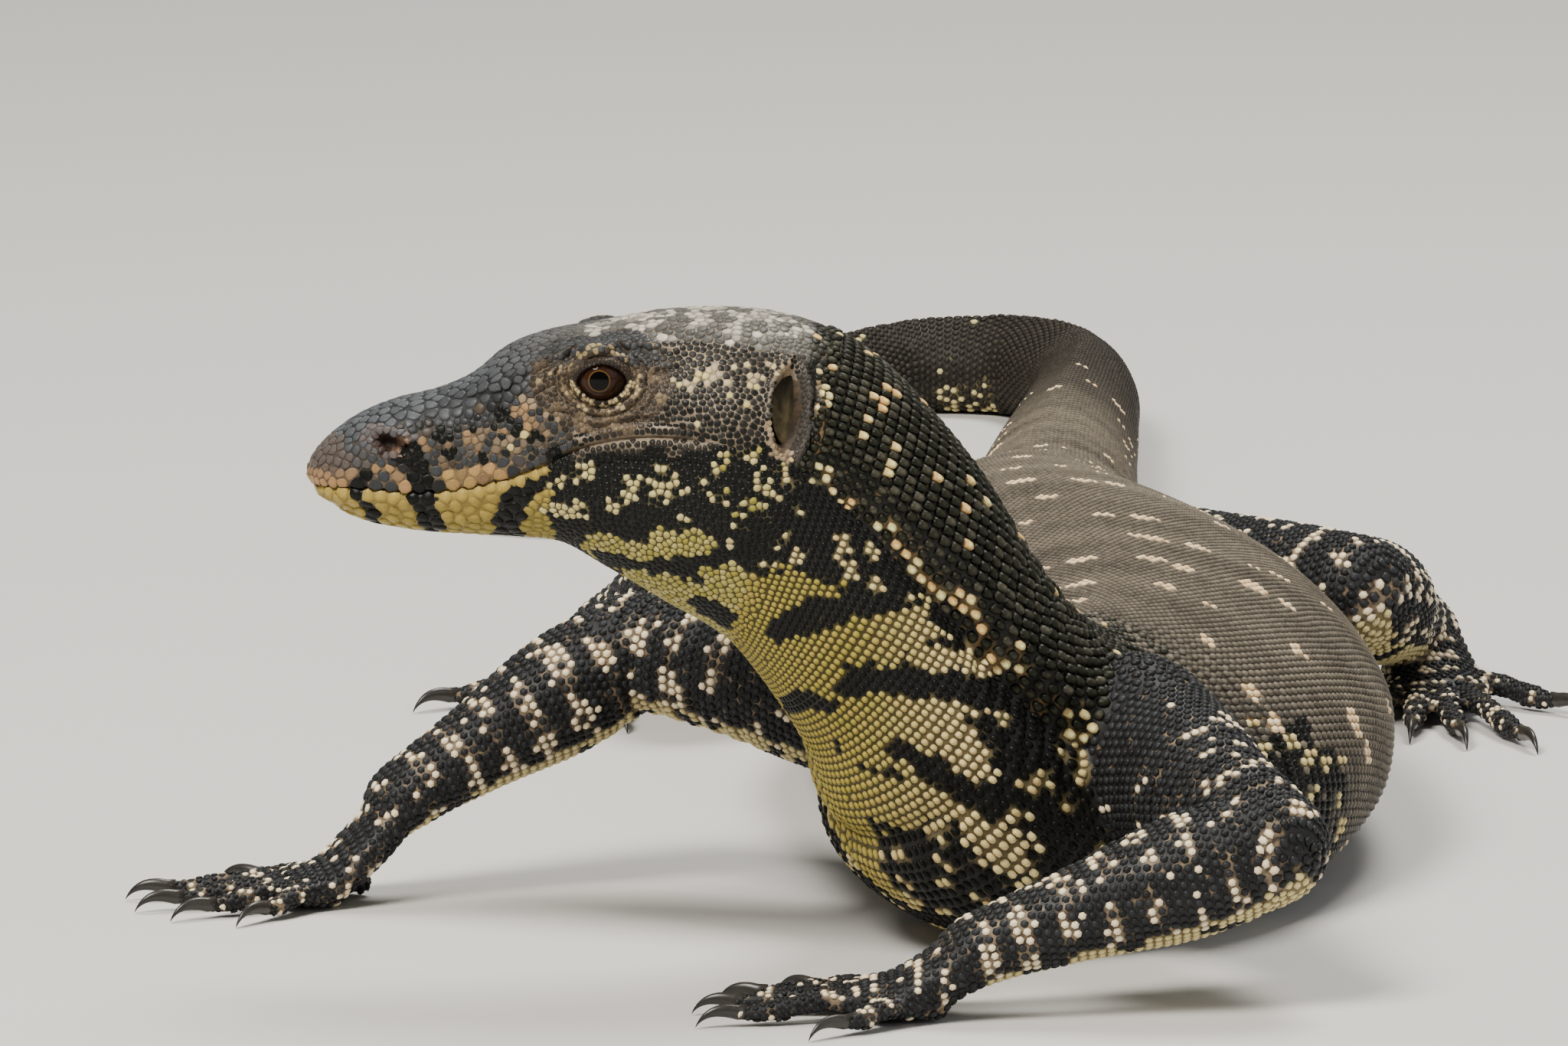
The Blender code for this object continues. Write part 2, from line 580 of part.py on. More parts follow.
def make_limb(side_name, limb, at, upper, lower, plan, stump, names, inner, look):
    """The free lengths of one limb and its foot; returns the stump that joins the trunk.

    The limb stands on the body at length at, and inner is the sign of its inner side.
    """
    root, elbow, wrist = (np.array(limb[key], float) for key in ("root", "elbow", "wrist"))
    length = np.linalg.norm(elbow - root)
    split = stump / length
    half = GAP / 2 / length
    stump_part = loft(f"stump_{side_name}", limb_rings(root, elbow, upper, 14, 0.0, split - half, 4, "root"))
    thick = loft(f"{names[0]}_{side_name}", limb_rings(root, elbow, upper, 14, split + half, 1.0, 4, "end"), look)
    flank = body_points(np.linspace(at - FLANK_REACH[0], at + FLANK_REACH[1], 17), around(32), GAP)
    boolean(thick, [loft("flank", flank)], "DIFFERENCE")
    keep_largest(thick)
    shin = loft(f"{names[1]}_{side_name}", limb_rings(elbow, wrist, lower, 14, 0.0, 1.0, 7), look)
    make_foot(f"{names[2]}_{side_name}", limb, plan, inner, look)
    joint = loft("joint", limb_rings(root, elbow, upper, 14, split, 1.0, 4, "end", GAP))
    heel = loft("heel", foot_rings(limb, plan, 12, GAP)[0])
    boolean(shin, [joint, heel], "DIFFERENCE")
    keep_largest(shin)
    return stump_part


def make_head():
    """Head with lids, sockets, nostrils and ear cups, and the lower jaw parted by the mouth line."""
    skin = ("head_skin", DARK_SKIN, 0.5)
    s = np.concatenate((BODY["knots"][0] + np.array([0.0, 1.0, 2.6, 4.6]), np.linspace(8.0, NECK_START, 26)))
    s[-1] -= GAP / 2
    head = loft("head", body_points(s, around(36)), skin)
    lids = []
    for side in (-1, 1):
        x, y, z = EYE["at"]
        wide, tall = EYE["opening"]
        lids.append(torus("lid", (x, side * (y + 4.4), z), (wide + 0.5, tall + 0.5), EYE["lid"]))
    boolean(head, lids, "UNION")
    cutters = []
    for side in (-1, 1):
        x, y, z = EYE["at"]
        radius = EYE["radius"] + GAP
        cutters.append(ellipsoid("socket", (x, side * y, z), (radius,) * 3, segments=18, rings=10))
        x, y, z = NOSTRIL["at"]
        cutters.append(ellipsoid("nostril", (x, side * y, z), NOSTRIL["radii"], NOSTRIL["tilt"], 14, 8))
        x, y, z = EAR["at"]
        cutters.append(ellipsoid("ear_cup", (x, side * y, z), EAR["radii"], EAR["tilt"], 14, 8))
    cutters.append(ribbon("mouth", MOUTH_LINE + JAW_BACK, MOUTH_GAP, 60.0))
    boolean(head, cutters, "DIFFERENCE")
    groups = shells(head)
    groups[0].to_mesh(head.data)
    jaw_mesh = bpy.data.meshes.new("lower_jaw")
    groups[1].to_mesh(jaw_mesh)
    for part in groups:
        part.free()
    mesh_object("lower_jaw", jaw_mesh, ("jaw_skin", PALE_SKIN, 0.5))
    for side, label in ((-1, "left"), (1, "right")):
        x, y, z = EYE["at"]
        ball = ellipsoid(f"eye_{label}", (x, side * y, z), (EYE["radius"],) * 3, segments=16, rings=10)
        ball.data.materials.append(material("eye", EYE_COLOUR, 0.05))
        x, y, z = EAR["at"]
        drum = ellipsoid(f"eardrum_{label}", (x, side * (y - EARDRUM["depth"]), z), EARDRUM["radii"],
                         EAR["tilt"], 12, 6)
        drum.data.materials.append(material("ear", EAR_COLOUR, 0.6))


def make_trunk(stumps):
    """Neck, chest, torso and hips, with the roots of the limbs fused to chest and hips."""
    grey = ("back_skin", GREY_SKIN, 0.6)
    body_piece("neck", NECK_START, CHEST_START, 16, 36, ("neck_skin", DARK_SKIN, 0.55))
    chest = body_piece("chest", CHEST_START, CHEST_END, 11, 32, grey)
    boolean(chest, stumps[:2], "UNION")
    keep_largest(chest)
    body_piece("torso", CHEST_END, HIPS_START, 14, 32, grey)
    hips = body_piece("hips", HIPS_START, VENT, 12, 30, grey)
    boolean(hips, stumps[2:], "UNION")
    keep_largest(hips)


def make_tail():
    """The tail in a few lengths with its crest ridge."""
    cuts = VENT + (TAIL_TIP - VENT) * np.linspace(0, 1, TAIL_PIECES + 1) ** TAIL_CUT_POWER
    for i in range(TAIL_PIECES):
        body_piece(f"tail_{i + 1}", cuts[i], cuts[i + 1], 13, TAIL_SIDES[i], ("tail_skin", DARK_SKIN, 0.6))


def main():
    """Build every piece of the animal."""
    start_scene()
    look = ("limb_skin", DARK_SKIN, 0.6)
    arm = ("upper_arm", "forearm", "hand")
    leg = ("thigh", "shank", "foot")
    stumps = [
        make_limb("left", FORE_LEFT, SHOULDER, UPPER_ARM, FOREARM, HAND, FORE_STUMP, arm, -1, look),
        make_limb("right", FORE_RIGHT, SHOULDER, UPPER_ARM, FOREARM, HAND, FORE_STUMP, arm, 1, look),
        make_limb("left", HIND_LEFT, HIP, THIGH, SHANK, FOOT, HIND_STUMP, leg, -1, look),
        make_limb("right", HIND_RIGHT, HIP, THIGH, SHANK, FOOT, HIND_STUMP, leg, 1, look),
    ]
    make_head()
    make_trunk(stumps)
    make_tail()


main()
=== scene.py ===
"""Looks of a life-size still model of a water monitor lizard.

Shapes are worked out in millimetres in the animal's own frame, where the head's middle plane is
y = 0 and the floor is z = 0, and are moved into the model's frame at the end. One skin lies just
inside the solids, and every scale is a small closed plate set on it.
"""
import math

import bmesh
import bpy
import numpy as np
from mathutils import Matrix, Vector
from mathutils.bvhtree import BVHTree
from mathutils.kdtree import KDTree


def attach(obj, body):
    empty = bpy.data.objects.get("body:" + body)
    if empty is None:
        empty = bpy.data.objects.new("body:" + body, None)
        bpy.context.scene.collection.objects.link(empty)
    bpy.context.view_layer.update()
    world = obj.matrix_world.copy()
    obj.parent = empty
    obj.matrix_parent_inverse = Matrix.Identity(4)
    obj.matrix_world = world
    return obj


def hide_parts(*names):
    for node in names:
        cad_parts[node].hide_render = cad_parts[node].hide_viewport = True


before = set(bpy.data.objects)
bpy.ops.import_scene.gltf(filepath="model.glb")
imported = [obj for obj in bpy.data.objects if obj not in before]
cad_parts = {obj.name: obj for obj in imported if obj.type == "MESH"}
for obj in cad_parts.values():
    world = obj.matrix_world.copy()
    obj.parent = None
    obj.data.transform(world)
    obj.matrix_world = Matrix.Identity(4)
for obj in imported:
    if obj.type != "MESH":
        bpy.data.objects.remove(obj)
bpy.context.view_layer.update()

MM = 0.001
UP = (0, 0, 1.0)
AIM = 90.9                      # height of the point that the camera looks at
SEEN_TILT = 10.0                # degrees from which the photograph looks down
SEEN_SINE, SEEN_COSINE = 0.1736, 0.985
ORIGIN = np.array((20.9, 304.6, 0.0))
COAT = 0.45                     # how far the skin lies inside the solids
VOXEL = 1.35                    # cell of the remesh that fuses body and limbs
RNG = np.random.default_rng(20)

# The same tables as the solids: dorsal point, ventral point, half width, height of the widest
# line, squareness above it and below it.
HEAD_SECTIONS = [
    ((-96.7, 0, 103.0), (-96.3, 0, 100.0), 1.8, 0.50, 2.0, 2.0),
    ((-95.3, 0, 105.6), (-94.6, 0, 97.6), 5.0, 0.50, 2.1, 2.1),
    ((-91.8, 0, 109.4), (-91.2, 0, 94.6), 8.4, 0.48, 2.2, 2.3),
    ((-86.0, 0, 113.5), (-86.0, 0, 92.0), 10.6, 0.46, 2.4, 2.5),
    ((-78.5, 0, 116.6), (-78.5, 0, 90.3), 12.0, 0.44, 2.5, 2.6),
    ((-70.0, 0, 118.7), (-70.0, 0, 89.3), 13.2, 0.43, 2.5, 2.6),
    ((-62.5, 0, 122.0), (-61.5, 0, 88.9), 14.8, 0.43, 2.5, 2.6),
    ((-56.0, 0, 127.3), (-53.5, 0, 88.5), 16.8, 0.44, 2.6, 2.5),
    ((-47.0, 0, 130.6), (-45.0, 0, 87.3), 18.8, 0.45, 2.8, 2.3),
    ((-36.7, 0, 132.2), (-37.0, 0, 82.6), 20.3, 0.50, 2.9, 2.1),
    ((-26.0, 0, 134.3), (-30.0, 0, 78.4), 21.9, 0.52, 2.7, 2.0),
    ((-15.0, 0, 135.1), (-23.5, 0, 74.4), 23.6, 0.54, 2.5, 2.0),
    ((-3.0, 0, 134.5), (-17.0, 0, 70.8), 24.6, 0.55, 2.3, 2.0),
]
NECK_SECTIONS = [
    ((8.4, 0.2, 131.4), (-11.0, 0, 66.6), 24.2, 0.54, 2.1, 2.0),
    ((19.3, 1.2, 124.4), (-6.0, 0.4, 60.5), 24.2, 0.52, 2.1, 2.0),
    ((29.8, 3.4, 113.2), (-1.5, 1.4, 54.0), 25.2, 0.50, 2.0, 2.0),
    ((39.6, 8.0, 100.0), (4.5, 3.6, 44.0), 27.0, 0.48, 2.0, 2.0),
    ((47.6, 14.5, 85.5), (9.0, 6.0, 31.0), 30.0, 0.46, 2.0, 2.0),
    ((54.6, 24.0, 73.0), (17.0, 11.0, 15.0), 34.5, 0.45, 2.0, 2.2),
    ((60.6, 38.0, 65.0), (33.0, 24.0, 2.0), 40.5, 0.44, 1.9, 2.5),
]
TRUNK_SECTIONS = [
    ((66.5, 62.0), 64.0, 48.5), ((70.0, 100.0), 65.0, 57.0), ((66.0, 150.0), 65.5, 62.0),
    ((59.5, 200.0), 65.0, 60.0), ((54.5, 250.0), 61.5, 47.5), ((54.5, 300.0), 55.0, 36.0),
    ((60.0, 350.0), 46.0, 25.5),
]
TRUNK_SHAPE = (0.42, 1.75, 2.9)
CHEST_LEAN = 6.0
SINK = 0.6
TAIL_COURSE = [
    (60, 350), (62, 420), (66, 500), (71, 575), (73, 628), (65, 664), (42, 680), (15, 661),
    (-9, 630), (-36, 606), (-64, 584), (-84, 556), (-84, 522), (-62, 500), (-30, 498), (2, 508),
    (22, 532), (16, 562), (-10, 574), (-36, 564),
]
TAIL_WIDTH = (24.0, 1.4, 1.55)  # at the vent, at the tip, and how fast it falls
TAIL_HEIGHT = (44.0, 3.0, 1.25)

LIMBS = {
    "fore_left": dict(
        root=(72, 14, 42), elbow=(98, -44, 33), wrist=(39, -53, 14), tip=(-24, -53, 3), inner=-1),
    "fore_right": dict(
        root=(27, 50, 44), elbow=(-31, 82, 50), wrist=(-79, 66, 22), tip=(-140, 50, 3), inner=1),
    "hind_left": dict(
        root=(64, 316, 24), elbow=(125, 254, 31), wrist=(142, 306, 13), tip=(150, 226, 3), inner=-1),
    "hind_right": dict(
        root=(47, 316, 24), elbow=(-17, 256, 31), wrist=(-39, 306, 13), tip=(-60, 232, 3), inner=1),
}
for corners in LIMBS.values():
    corners.update({key: np.array(corners[key], float) for key in ("root", "elbow", "wrist", "tip")})
UPPER_ARM = [(0.0, 17.0, 20.0), (0.35, 15.5, 17.5), (0.7, 13.0, 14.0), (1.0, 12.0, 12.5)]
FOREARM = [(0.0, 12.0, 12.5), (0.3, 13.0, 13.0), (0.7, 10.0, 9.5), (1.0, 9.2, 7.6)]
THIGH = [(0.0, 15.0, 13.0), (0.3, 19.5, 16.5), (0.6, 17.5, 15.5), (0.85, 15.0, 14.0), (1.0, 13.5, 13.0)]
SHANK = [(0.0, 13.5, 13.0), (0.3, 14.0, 14.0), (0.7, 10.0, 10.0), (1.0, 9.4, 8.0)]
WRIST = (9.4, 8.0)
HAND = dict(palm=24.0, half_width=11.0, half_height=6.0, thick=3.0, claw=8.5,
            digits=[(34, 15, 8.5, 0.12), (15, 21, 5.0, 0.0), (1, 25, 0.5, 0.0), (-13, 25, -4.5, 0.0),
                    (-38, 18, -8.5, 0.45)])
FOOT = dict(palm=35.0, half_width=11.5, half_height=6.5, thick=3.3, claw=9.0,
            digits=[(26, 18, 8.5, 0.12), (11, 27, 5.0, 0.0), (0, 35, 0.5, 0.0), (-11, 42, -4.5, 0.0),
                    (-44, 26, -8.0, 0.45)])
DIGIT_FLESH = [(-0.45, 1.0, 0.9), (0.0, 1.0, 1.25), (0.35, 0.86, 1.45), (0.7, 0.9, 1.0), (1.0, 0.62, 0.9)]
SNOUT_FROM = -48.0               # ahead of this the head's plates are long
SNOUT_STRETCH = 1.32
CLAW_TURN = 1.25
CLAW_REST = 0.35
PALM_REST = 0.62
PALM_THIN = 0.72

EYE = dict(at=(-36.9, 14.6, 123.6), radius=6.2)
LID = dict(at=(-36.6, 14.6, 123.0), half=(5.0, 3.8), power=1.75, ball=7.0)
NOSTRIL = dict(at=(-78.9, 12.2, 109.2), half=(3.6, 1.75), tilt=16.0, depth=2.8)
EAR = dict(at=(0.6, 26.2, 117.6), half=(3.2, 7.5), tilt=4.0, depth=4.6)
MOUTH_LINE = [(-101.0, 99.2), (-95.4, 99.2), (-86.1, 99.7), (-74.3, 99.2), (-64.5, 100.3), (-57.2, 102.2),
              (-49.3, 105.4), (-42.1, 109.2), (-36.0, 111.0), (-28.0, 112.2), (-20.0, 112.2),
              (-12.6, 111.2)]


def spline(knots, values, at):
    """A smooth curve through values at rising knots, each slope taken from its neighbours."""
    knots = np.asarray(knots, float)
    values = np.asarray(values, float).reshape(len(knots), -1)
    step = np.diff(knots)[:, None]
    rise = np.diff(values, axis=0) / step
    slope = np.empty_like(values)
    slope[1:-1] = (rise[:-1] * step[1:] + rise[1:] * step[:-1]) / (step[:-1] + step[1:])
    slope[0] = rise[0]
    slope[-1] = rise[-1]
    at = np.atleast_1d(np.asarray(at, float))
    cell = np.clip(np.searchsorted(knots, at, side="right") - 1, 0, len(knots) - 2)
    width = step[cell]
    t = ((at - knots[cell])[:, None]) / width
    a = 2 * t**3 - 3 * t**2 + 1
    b = t**3 - 2 * t**2 + t
    c = -2 * t**3 + 3 * t**2
    d = t**3 - t**2
    return a * values[cell] + b * width * slope[cell] + c * values[cell + 1] + d * width * slope[cell + 1]


def unit(rows):
    """Rows scaled to length one."""
    return rows / np.maximum(np.linalg.norm(rows, axis=-1, keepdims=True), 1e-9)


def smooth(low, high, value):
    """Soft step from 0 at low to 1 at high."""
    t = np.clip((value - low) / (high - low), 0, 1)
    return t * t * (3 - 2 * t)


def bell(value, width):
    """A round hump: 1 where the value is 0, falling away over the width."""
    return np.exp(-(value / width) ** 2)


def running_length(line):
    """Length along a line of points up to each of them."""
    return np.concatenate(([0.0], np.cumsum(np.linalg.norm(np.diff(line, axis=0), axis=1))))


def search_tree(points):
    """A tree that finds the nearest of some points."""
    tree = KDTree(len(points))
    for i, point in enumerate(points.tolist()):
        tree.insert(point, i)
    tree.balance()
    return tree


def neighbours(points, count):
    """Numbers of the points nearest to each point, itself first."""
    tree = search_tree(points)
    return np.array([[item[1] for item in tree.find_n(point, count)] for point in points.tolist()])


def body_table():
    """Every section of head, neck, trunk and tail, as arrays with a running length."""
    rows = HEAD_SECTIONS + NECK_SECTIONS
    for (x, y), height, width in TRUNK_SECTIONS:
        lean = CHEST_LEAN if (x, y) == TRUNK_SECTIONS[0][0] else 0.0
        rows = rows + [((x, y, height), (x - lean, y - lean, -SINK), width, *TRUNK_SHAPE)]
    course = np.array(TAIL_COURSE, float)
    knots = running_length(course)
    for i in range(1, 27):
        t = i / 26
        x, y = spline(knots, course, knots[-1] * t)[0]
        width = TAIL_WIDTH[1] + (TAIL_WIDTH[0] - TAIL_WIDTH[1]) * (1 - t) ** TAIL_WIDTH[2]
        height = TAIL_HEIGHT[1] + (TAIL_HEIGHT[0] - TAIL_HEIGHT[1]) * (1 - t) ** TAIL_HEIGHT[2]
        rows = rows + [((x, y, height), (x, y, -SINK), width, 0.44, 1.85, 2.3)]
    dorsal = np.array([row[0] for row in rows], float)
    ventral = np.array([row[1] for row in rows], float)
    sizes = np.array([row[2:] for row in rows], float)
    return dict(knots=running_length((dorsal + ventral) / 2), dorsal=dorsal, ventral=ventral, sizes=sizes)


BODY = body_table()
NAPE = BODY["knots"][len(HEAD_SECTIONS)]
GIRDLE = BODY["knots"][len(HEAD_SECTIONS) + len(NECK_SECTIONS) - 1]
VENT = BODY["knots"][len(HEAD_SECTIONS) + len(NECK_SECTIONS) + len(TRUNK_SECTIONS) - 1]
TAIL_TIP = BODY["knots"][-1]
NECK_END = GIRDLE + 18.0         # where the neck's scales give way to the trunk's
BUMPS = [(57.5, 0.78, 9.0, 0.20, 1.3), (42.0, 1.05, 8.0, 0.22, -1.1), (70.0, 0.95, 8.0, 0.20, -0.9),
         (88.0, 1.55, 12.0, 0.45, 1.8), (18.0, 1.05, 6.0, 0.35, 0.8)]
NECK_FOLD = dict(start=3.0, end=89.0, angles=(1.42, 1.10), width=0.10, depth=2.4, swell=1.6)
FOLD_DEEPER = 1.7                # the skin's fold goes deeper than the solid's
FOLD_NARROW = 0.065
GULAR_FOLD = dict(at=59.0, width=3.0, depth=2.0)
CREST_HEIGHT = 1.6
CREST_ANGLE = 0.22


def fold_angle(s):
    """Angle of the fold along the side of the neck, and how strong it is there."""
    t = np.clip((s - NAPE - NECK_FOLD["start"]) / (NECK_FOLD["end"] - NECK_FOLD["start"]), 0, 1)
    first, last = NECK_FOLD["angles"]
    return first + (last - first) * t, np.sin(np.pi * t) ** 0.5


def relief(s, angle):
    """How far folds, brows and muscles lift the surface at a length and an angle."""
    side = np.abs(np.arctan2(np.sin(angle), np.cos(angle)))
    lift = np.zeros(np.broadcast(s, angle).shape)
    for place, turn, spread, fan, height in BUMPS:
        lift += height * np.exp(-((s - place) / spread) ** 2 - ((side - turn) / fan) ** 2)
    line, fade = fold_angle(s)
    width = NECK_FOLD["width"]
    lift -= NECK_FOLD["depth"] * fade * bell(side - line, width)
    lift += NECK_FOLD["swell"] * fade * bell(side - line + 2.2 * width, 1.6 * width)
    lift -= FOLD_DEEPER * fade * bell(side - line, FOLD_NARROW)
    under = np.clip((side - 1.7) / 0.6, 0, 1)
    lift -= GULAR_FOLD["depth"] * under * bell(s - NAPE - GULAR_FOLD["at"], GULAR_FOLD["width"])
    crest = np.clip((s - VENT - 60.0) / 120.0, 0, 1) * np.clip((TAIL_TIP - s) / 300.0, 0, 1)
    return lift + CREST_HEIGHT * crest * bell(side, CREST_ANGLE)


def heading(s, reach):
    """Direction of the body at a length, from points a little way behind and ahead."""
    rails = BODY["dorsal"] + BODY["ventral"]
    return unit(spline(BODY["knots"], rails, s + reach) - spline(BODY["knots"], rails, s - reach))


def body_points(s, angle, grow=0.0):
    """Points of the body's surface, one row for each length s; angle is one row, or a row each."""
    s = np.atleast_1d(np.asarray(s, float))
    angle = np.atleast_2d(np.asarray(angle, float))
    dorsal = spline(BODY["knots"], BODY["dorsal"], s)
    ventral = spline(BODY["knots"], BODY["ventral"], s)
    half, widest, top, bottom = spline(BODY["knots"], BODY["sizes"], s).T
    along = heading(s, 1.0)
    up = unit(dorsal - ventral)
    left = unit(np.cross(along, up))
    height = np.linalg.norm(dorsal - ventral, axis=1)
    core = ventral + up * (widest * height)[:, None]
    sine = np.sin(angle)
    cosine = np.cos(angle)
    power = np.where(cosine >= 0, top[:, None], bottom[:, None])
    across = np.sign(sine) * np.abs(sine) ** (2 / power) * half[:, None]
    reach = np.where(cosine >= 0, ((1 - widest) * height)[:, None], (widest * height)[:, None])
    rise = np.sign(cosine) * np.abs(cosine) ** (2 / power) * reach
    out = np.sqrt(across**2 + rise**2) + 1e-6
    scale = 1 + (relief(s[:, None], angle) + grow) / np.maximum(out, 3.0)
    points = core[:, None, :] + left[:, None, :] * (across * scale)[..., None]
    points = points + up[:, None, :] * (rise * scale)[..., None]
    points[..., 2] = np.maximum(points[..., 2], COAT)
    return points


def place(points):
    """Points of the animal's frame, in metres in the model's frame."""
    return (np.asarray(points, float) - ORIGIN) * MM


def around(count):
    """Angles of a ring, starting at the line of the back."""
    return np.linspace(0, 2 * math.pi, count, endpoint=False)


def oval(centre, angle, wide, side, high, up):
    """A ring of points round a centre."""
    return centre + np.outer(np.sin(angle) * wide, side) + np.outer(np.cos(angle) * high, up)


def limb_rings(start, end, profile, sides, count, rounded_root=False, grow=-COAT):
    """Rings round a length of limb with a rounded end; returns rings and their lengths along it."""
    length = np.linalg.norm(end - start)
    axis = (end - start) / length
    side = unit(np.cross(UP, axis))
    up = np.cross(axis, side)
    share, across, height = np.array(profile, float).T
    angle = around(sides)
    rows = []
    caps = np.sin(np.linspace(0.15, 1.45, 7))
    a, b = across[0] + grow, height[0] + grow
    if rounded_root:
        rows += [(-a * lift, a * math.sqrt(1 - lift**2), b * math.sqrt(1 - lift**2)) for lift in caps[::-1]]
    for t in np.linspace(0, 1, count):
        a, b = spline(share, np.stack((across, height), axis=1), t)[0] + grow
        rows.append((length * t, a, b))
    rows += [(length + a * lift, a * math.sqrt(1 - lift**2), b * math.sqrt(1 - lift**2)) for lift in caps]
    rings = [oval(start + axis * t, angle, wide, side, high, up) for t, wide, high in rows]
    return np.array(rings), np.array([row[0] for row in rows])


def foot_axes(limb):
    """Direction in which a hand or foot points, and its side direction."""
    ahead = unit((limb["tip"] - limb["wrist"]) * (1, 1, 0))
    return ahead, np.cross(UP, ahead)


def palm_rings(limb, plan, sides, count, grow=-COAT):
    """Rings of the palm, from its rounded heel at the wrist to the roots of the digits."""
    wrist = limb["wrist"]
    ahead, side = foot_axes(limb)
    angle = around(sides)
    rings = []
    lengths = []
    for lift in np.sin(np.linspace(0.15, 1.45, 6))[::-1]:
        shrink = math.sqrt(1 - lift**2)
        wide, high = WRIST[0] + grow, WRIST[1] + grow
        ring = wrist - ahead * wide * lift + np.outer(np.sin(angle) * wide * shrink, side)
        rings.append(ring + np.outer(np.cos(angle) * high * shrink, UP))
        lengths.append(-WRIST[0] * lift)
    for t in np.linspace(0, 1, count):
        centre = wrist + ahead * plan["palm"] * t
        centre[2] = wrist[2] + (plan["half_height"] * PALM_REST - wrist[2]) * min(1.0, t * 1.35) ** 0.8
        wide = WRIST[0] + (plan["half_width"] - WRIST[0]) * min(1.0, 1.6 * t) + grow
        high = WRIST[1] + (plan["half_height"] * PALM_THIN - WRIST[1]) * t + grow
        rings.append(oval(centre, angle, wide, side, high, UP))
        lengths.append(plan["palm"] * t)
    return np.array(rings), np.array(lengths)


def digit_course(limb, plan, number):
    """Root, direction, side direction and length of one digit."""
    turn, length, offset, setback = plan["digits"][number]
    ahead, side = foot_axes(limb)
    bend = math.radians(turn) * limb["inner"]
    line = ahead * math.cos(bend) + side * math.sin(bend)
    front = limb["wrist"] + ahead * plan["palm"]
    root = front + side * offset * limb["inner"] - ahead * plan["palm"] * setback
    return root, line, np.cross(UP, line), length


def digit_rings(limb, plan, number, sides, count, grow=-COAT):
    """Rings of the fleshy part of one digit, with a rounded end."""
    root, line, side, length = digit_course(limb, plan, number)
    thick = plan["thick"]
    share, girth, lift = np.array(DIGIT_FLESH).T
    angle = around(sides)
    rings = []
    lengths = []
    stops = [(t, 1.0) for t in np.linspace(-0.45, 1.0, count)]
    stops += [(1.0 + thick * 0.6 * c / length, math.sqrt(1 - c * c)) for c in (0.4, 0.75, 0.95)]
    for t, shrink in stops:
        wide, high = spline(share, np.stack((girth, lift), axis=1), min(t, 1.0))[0]
        knuckle = 0.08 * math.exp(-((t - 0.38) / 0.09) ** 2) + 0.06 * math.exp(-((t - 0.74) / 0.08) ** 2)
        radius = (thick * wide * (1 + knuckle) + grow) * shrink
        centre = root + line * length * t
        centre[2] = thick * high
        rings.append(oval(centre, angle, radius, side, radius, UP))
        lengths.append(length * t)
    return np.array(rings), np.array(lengths)


def make_tube(kind, rings, lengths, group):
    """A tube with its lengths, signed angles and signed arcs from the top line, for laying scales."""
    rings = rings.copy()
    rings[..., 2] = np.maximum(rings[..., 2], COAT)
    count = rings.shape[1]
    half = count // 2
    chord = np.linalg.norm(np.roll(rings, -1, axis=1) - rings, axis=2)
    arc = np.zeros(rings.shape[:2])
    arc[:, 1:half + 1] = np.cumsum(chord[:, :half], axis=1)
    arc[:, half + 1:] = -np.cumsum(chord[:, :half - 1:-1], axis=1)[:, :half - 1][:, ::-1]
    angle = around(count)
    signed = np.where(angle > math.pi + 1e-6, angle - 2 * math.pi, angle)
    return dict(kind=kind, rings=rings, s=lengths, angle=signed, arc=arc, half=arc[:, half], group=group)


def build_tubes():
    """Every tube of the animal at full detail."""
    s = np.concatenate((np.linspace(0.0, 6.0, 9), np.arange(6.8, NAPE + 12, 0.9),
                        np.arange(NAPE + 13, VENT, 1.5), np.linspace(VENT, TAIL_TIP, 430)))
    tubes = [make_tube("body", body_points(s, around(144), -COAT), s, "body")]
    for name, limb in LIMBS.items():
        fore = name.startswith("fore")
        plan = HAND if fore else FOOT
        upper, lower = (UPPER_ARM, FOREARM) if fore else (THIGH, SHANK)
        root, elbow, wrist = limb["root"], limb["elbow"], limb["wrist"]
        tubes.append(make_tube("upper", *limb_rings(root, elbow, upper, 56, 48, True), name))
        tubes.append(make_tube("lower", *limb_rings(elbow, wrist, lower, 48, 44), name))
        tubes.append(make_tube("palm", *palm_rings(limb, plan, 44, 30), name))
        for number in range(5):
            tubes.append(make_tube("digit", *digit_rings(limb, plan, number, 24, 26), name))
    return tubes


def tube_mesh(tubes):
    """All the tubes as one mesh of overlapping closed shells."""
    verts = []
    faces = []
    start = 0
    for tube in tubes:
        rings = tube["rings"]
        n, m = rings.shape[:2]
        index = start + np.arange(n * m).reshape(n, m)
        right = np.roll(index, -1, axis=1)
        verts += [rings.reshape(-1, 3), rings[[0, -1]].mean(axis=1)]
        faces += np.stack((index[:-1], index[1:], right[1:], right[:-1]), axis=-1).reshape(-1, 4).tolist()
        a, b = start + n * m, start + n * m + 1
        faces += [(a, int(index[0, j]), int(right[0, j])) for j in range(m)]
        faces += [(b, int(right[-1, j]), int(index[-1, j])) for j in range(m)]
        start += n * m + 2
    mesh = bpy.data.meshes.new("tubes")
    mesh.from_pydata(place(np.concatenate(verts)).tolist(), [], faces)
    mesh.validate()
    return mesh


def read_all(items, name, width, kind):
    """One property of all of a mesh's items, as a flat array."""
    flat = np.empty(len(items) * width, kind)
    items.foreach_get(name, flat)
    return flat


def read_points(mesh):
    """A mesh's points in millimetres in the animal's frame."""
    return read_all(mesh.vertices, "co", 3, np.float32).reshape(-1, 3).astype(float) / MM + ORIGIN


def write_points(mesh, points):
    """Put points in millimetres in the animal's frame back into a mesh."""
    mesh.vertices.foreach_set("co", place(points).astype(np.float32).ravel())
    mesh.update()


def read_normals(mesh):
    """A mesh's smooth normals."""
    return read_all(mesh.vertex_normals, "vector", 3, np.float32).reshape(-1, 3).astype(float)


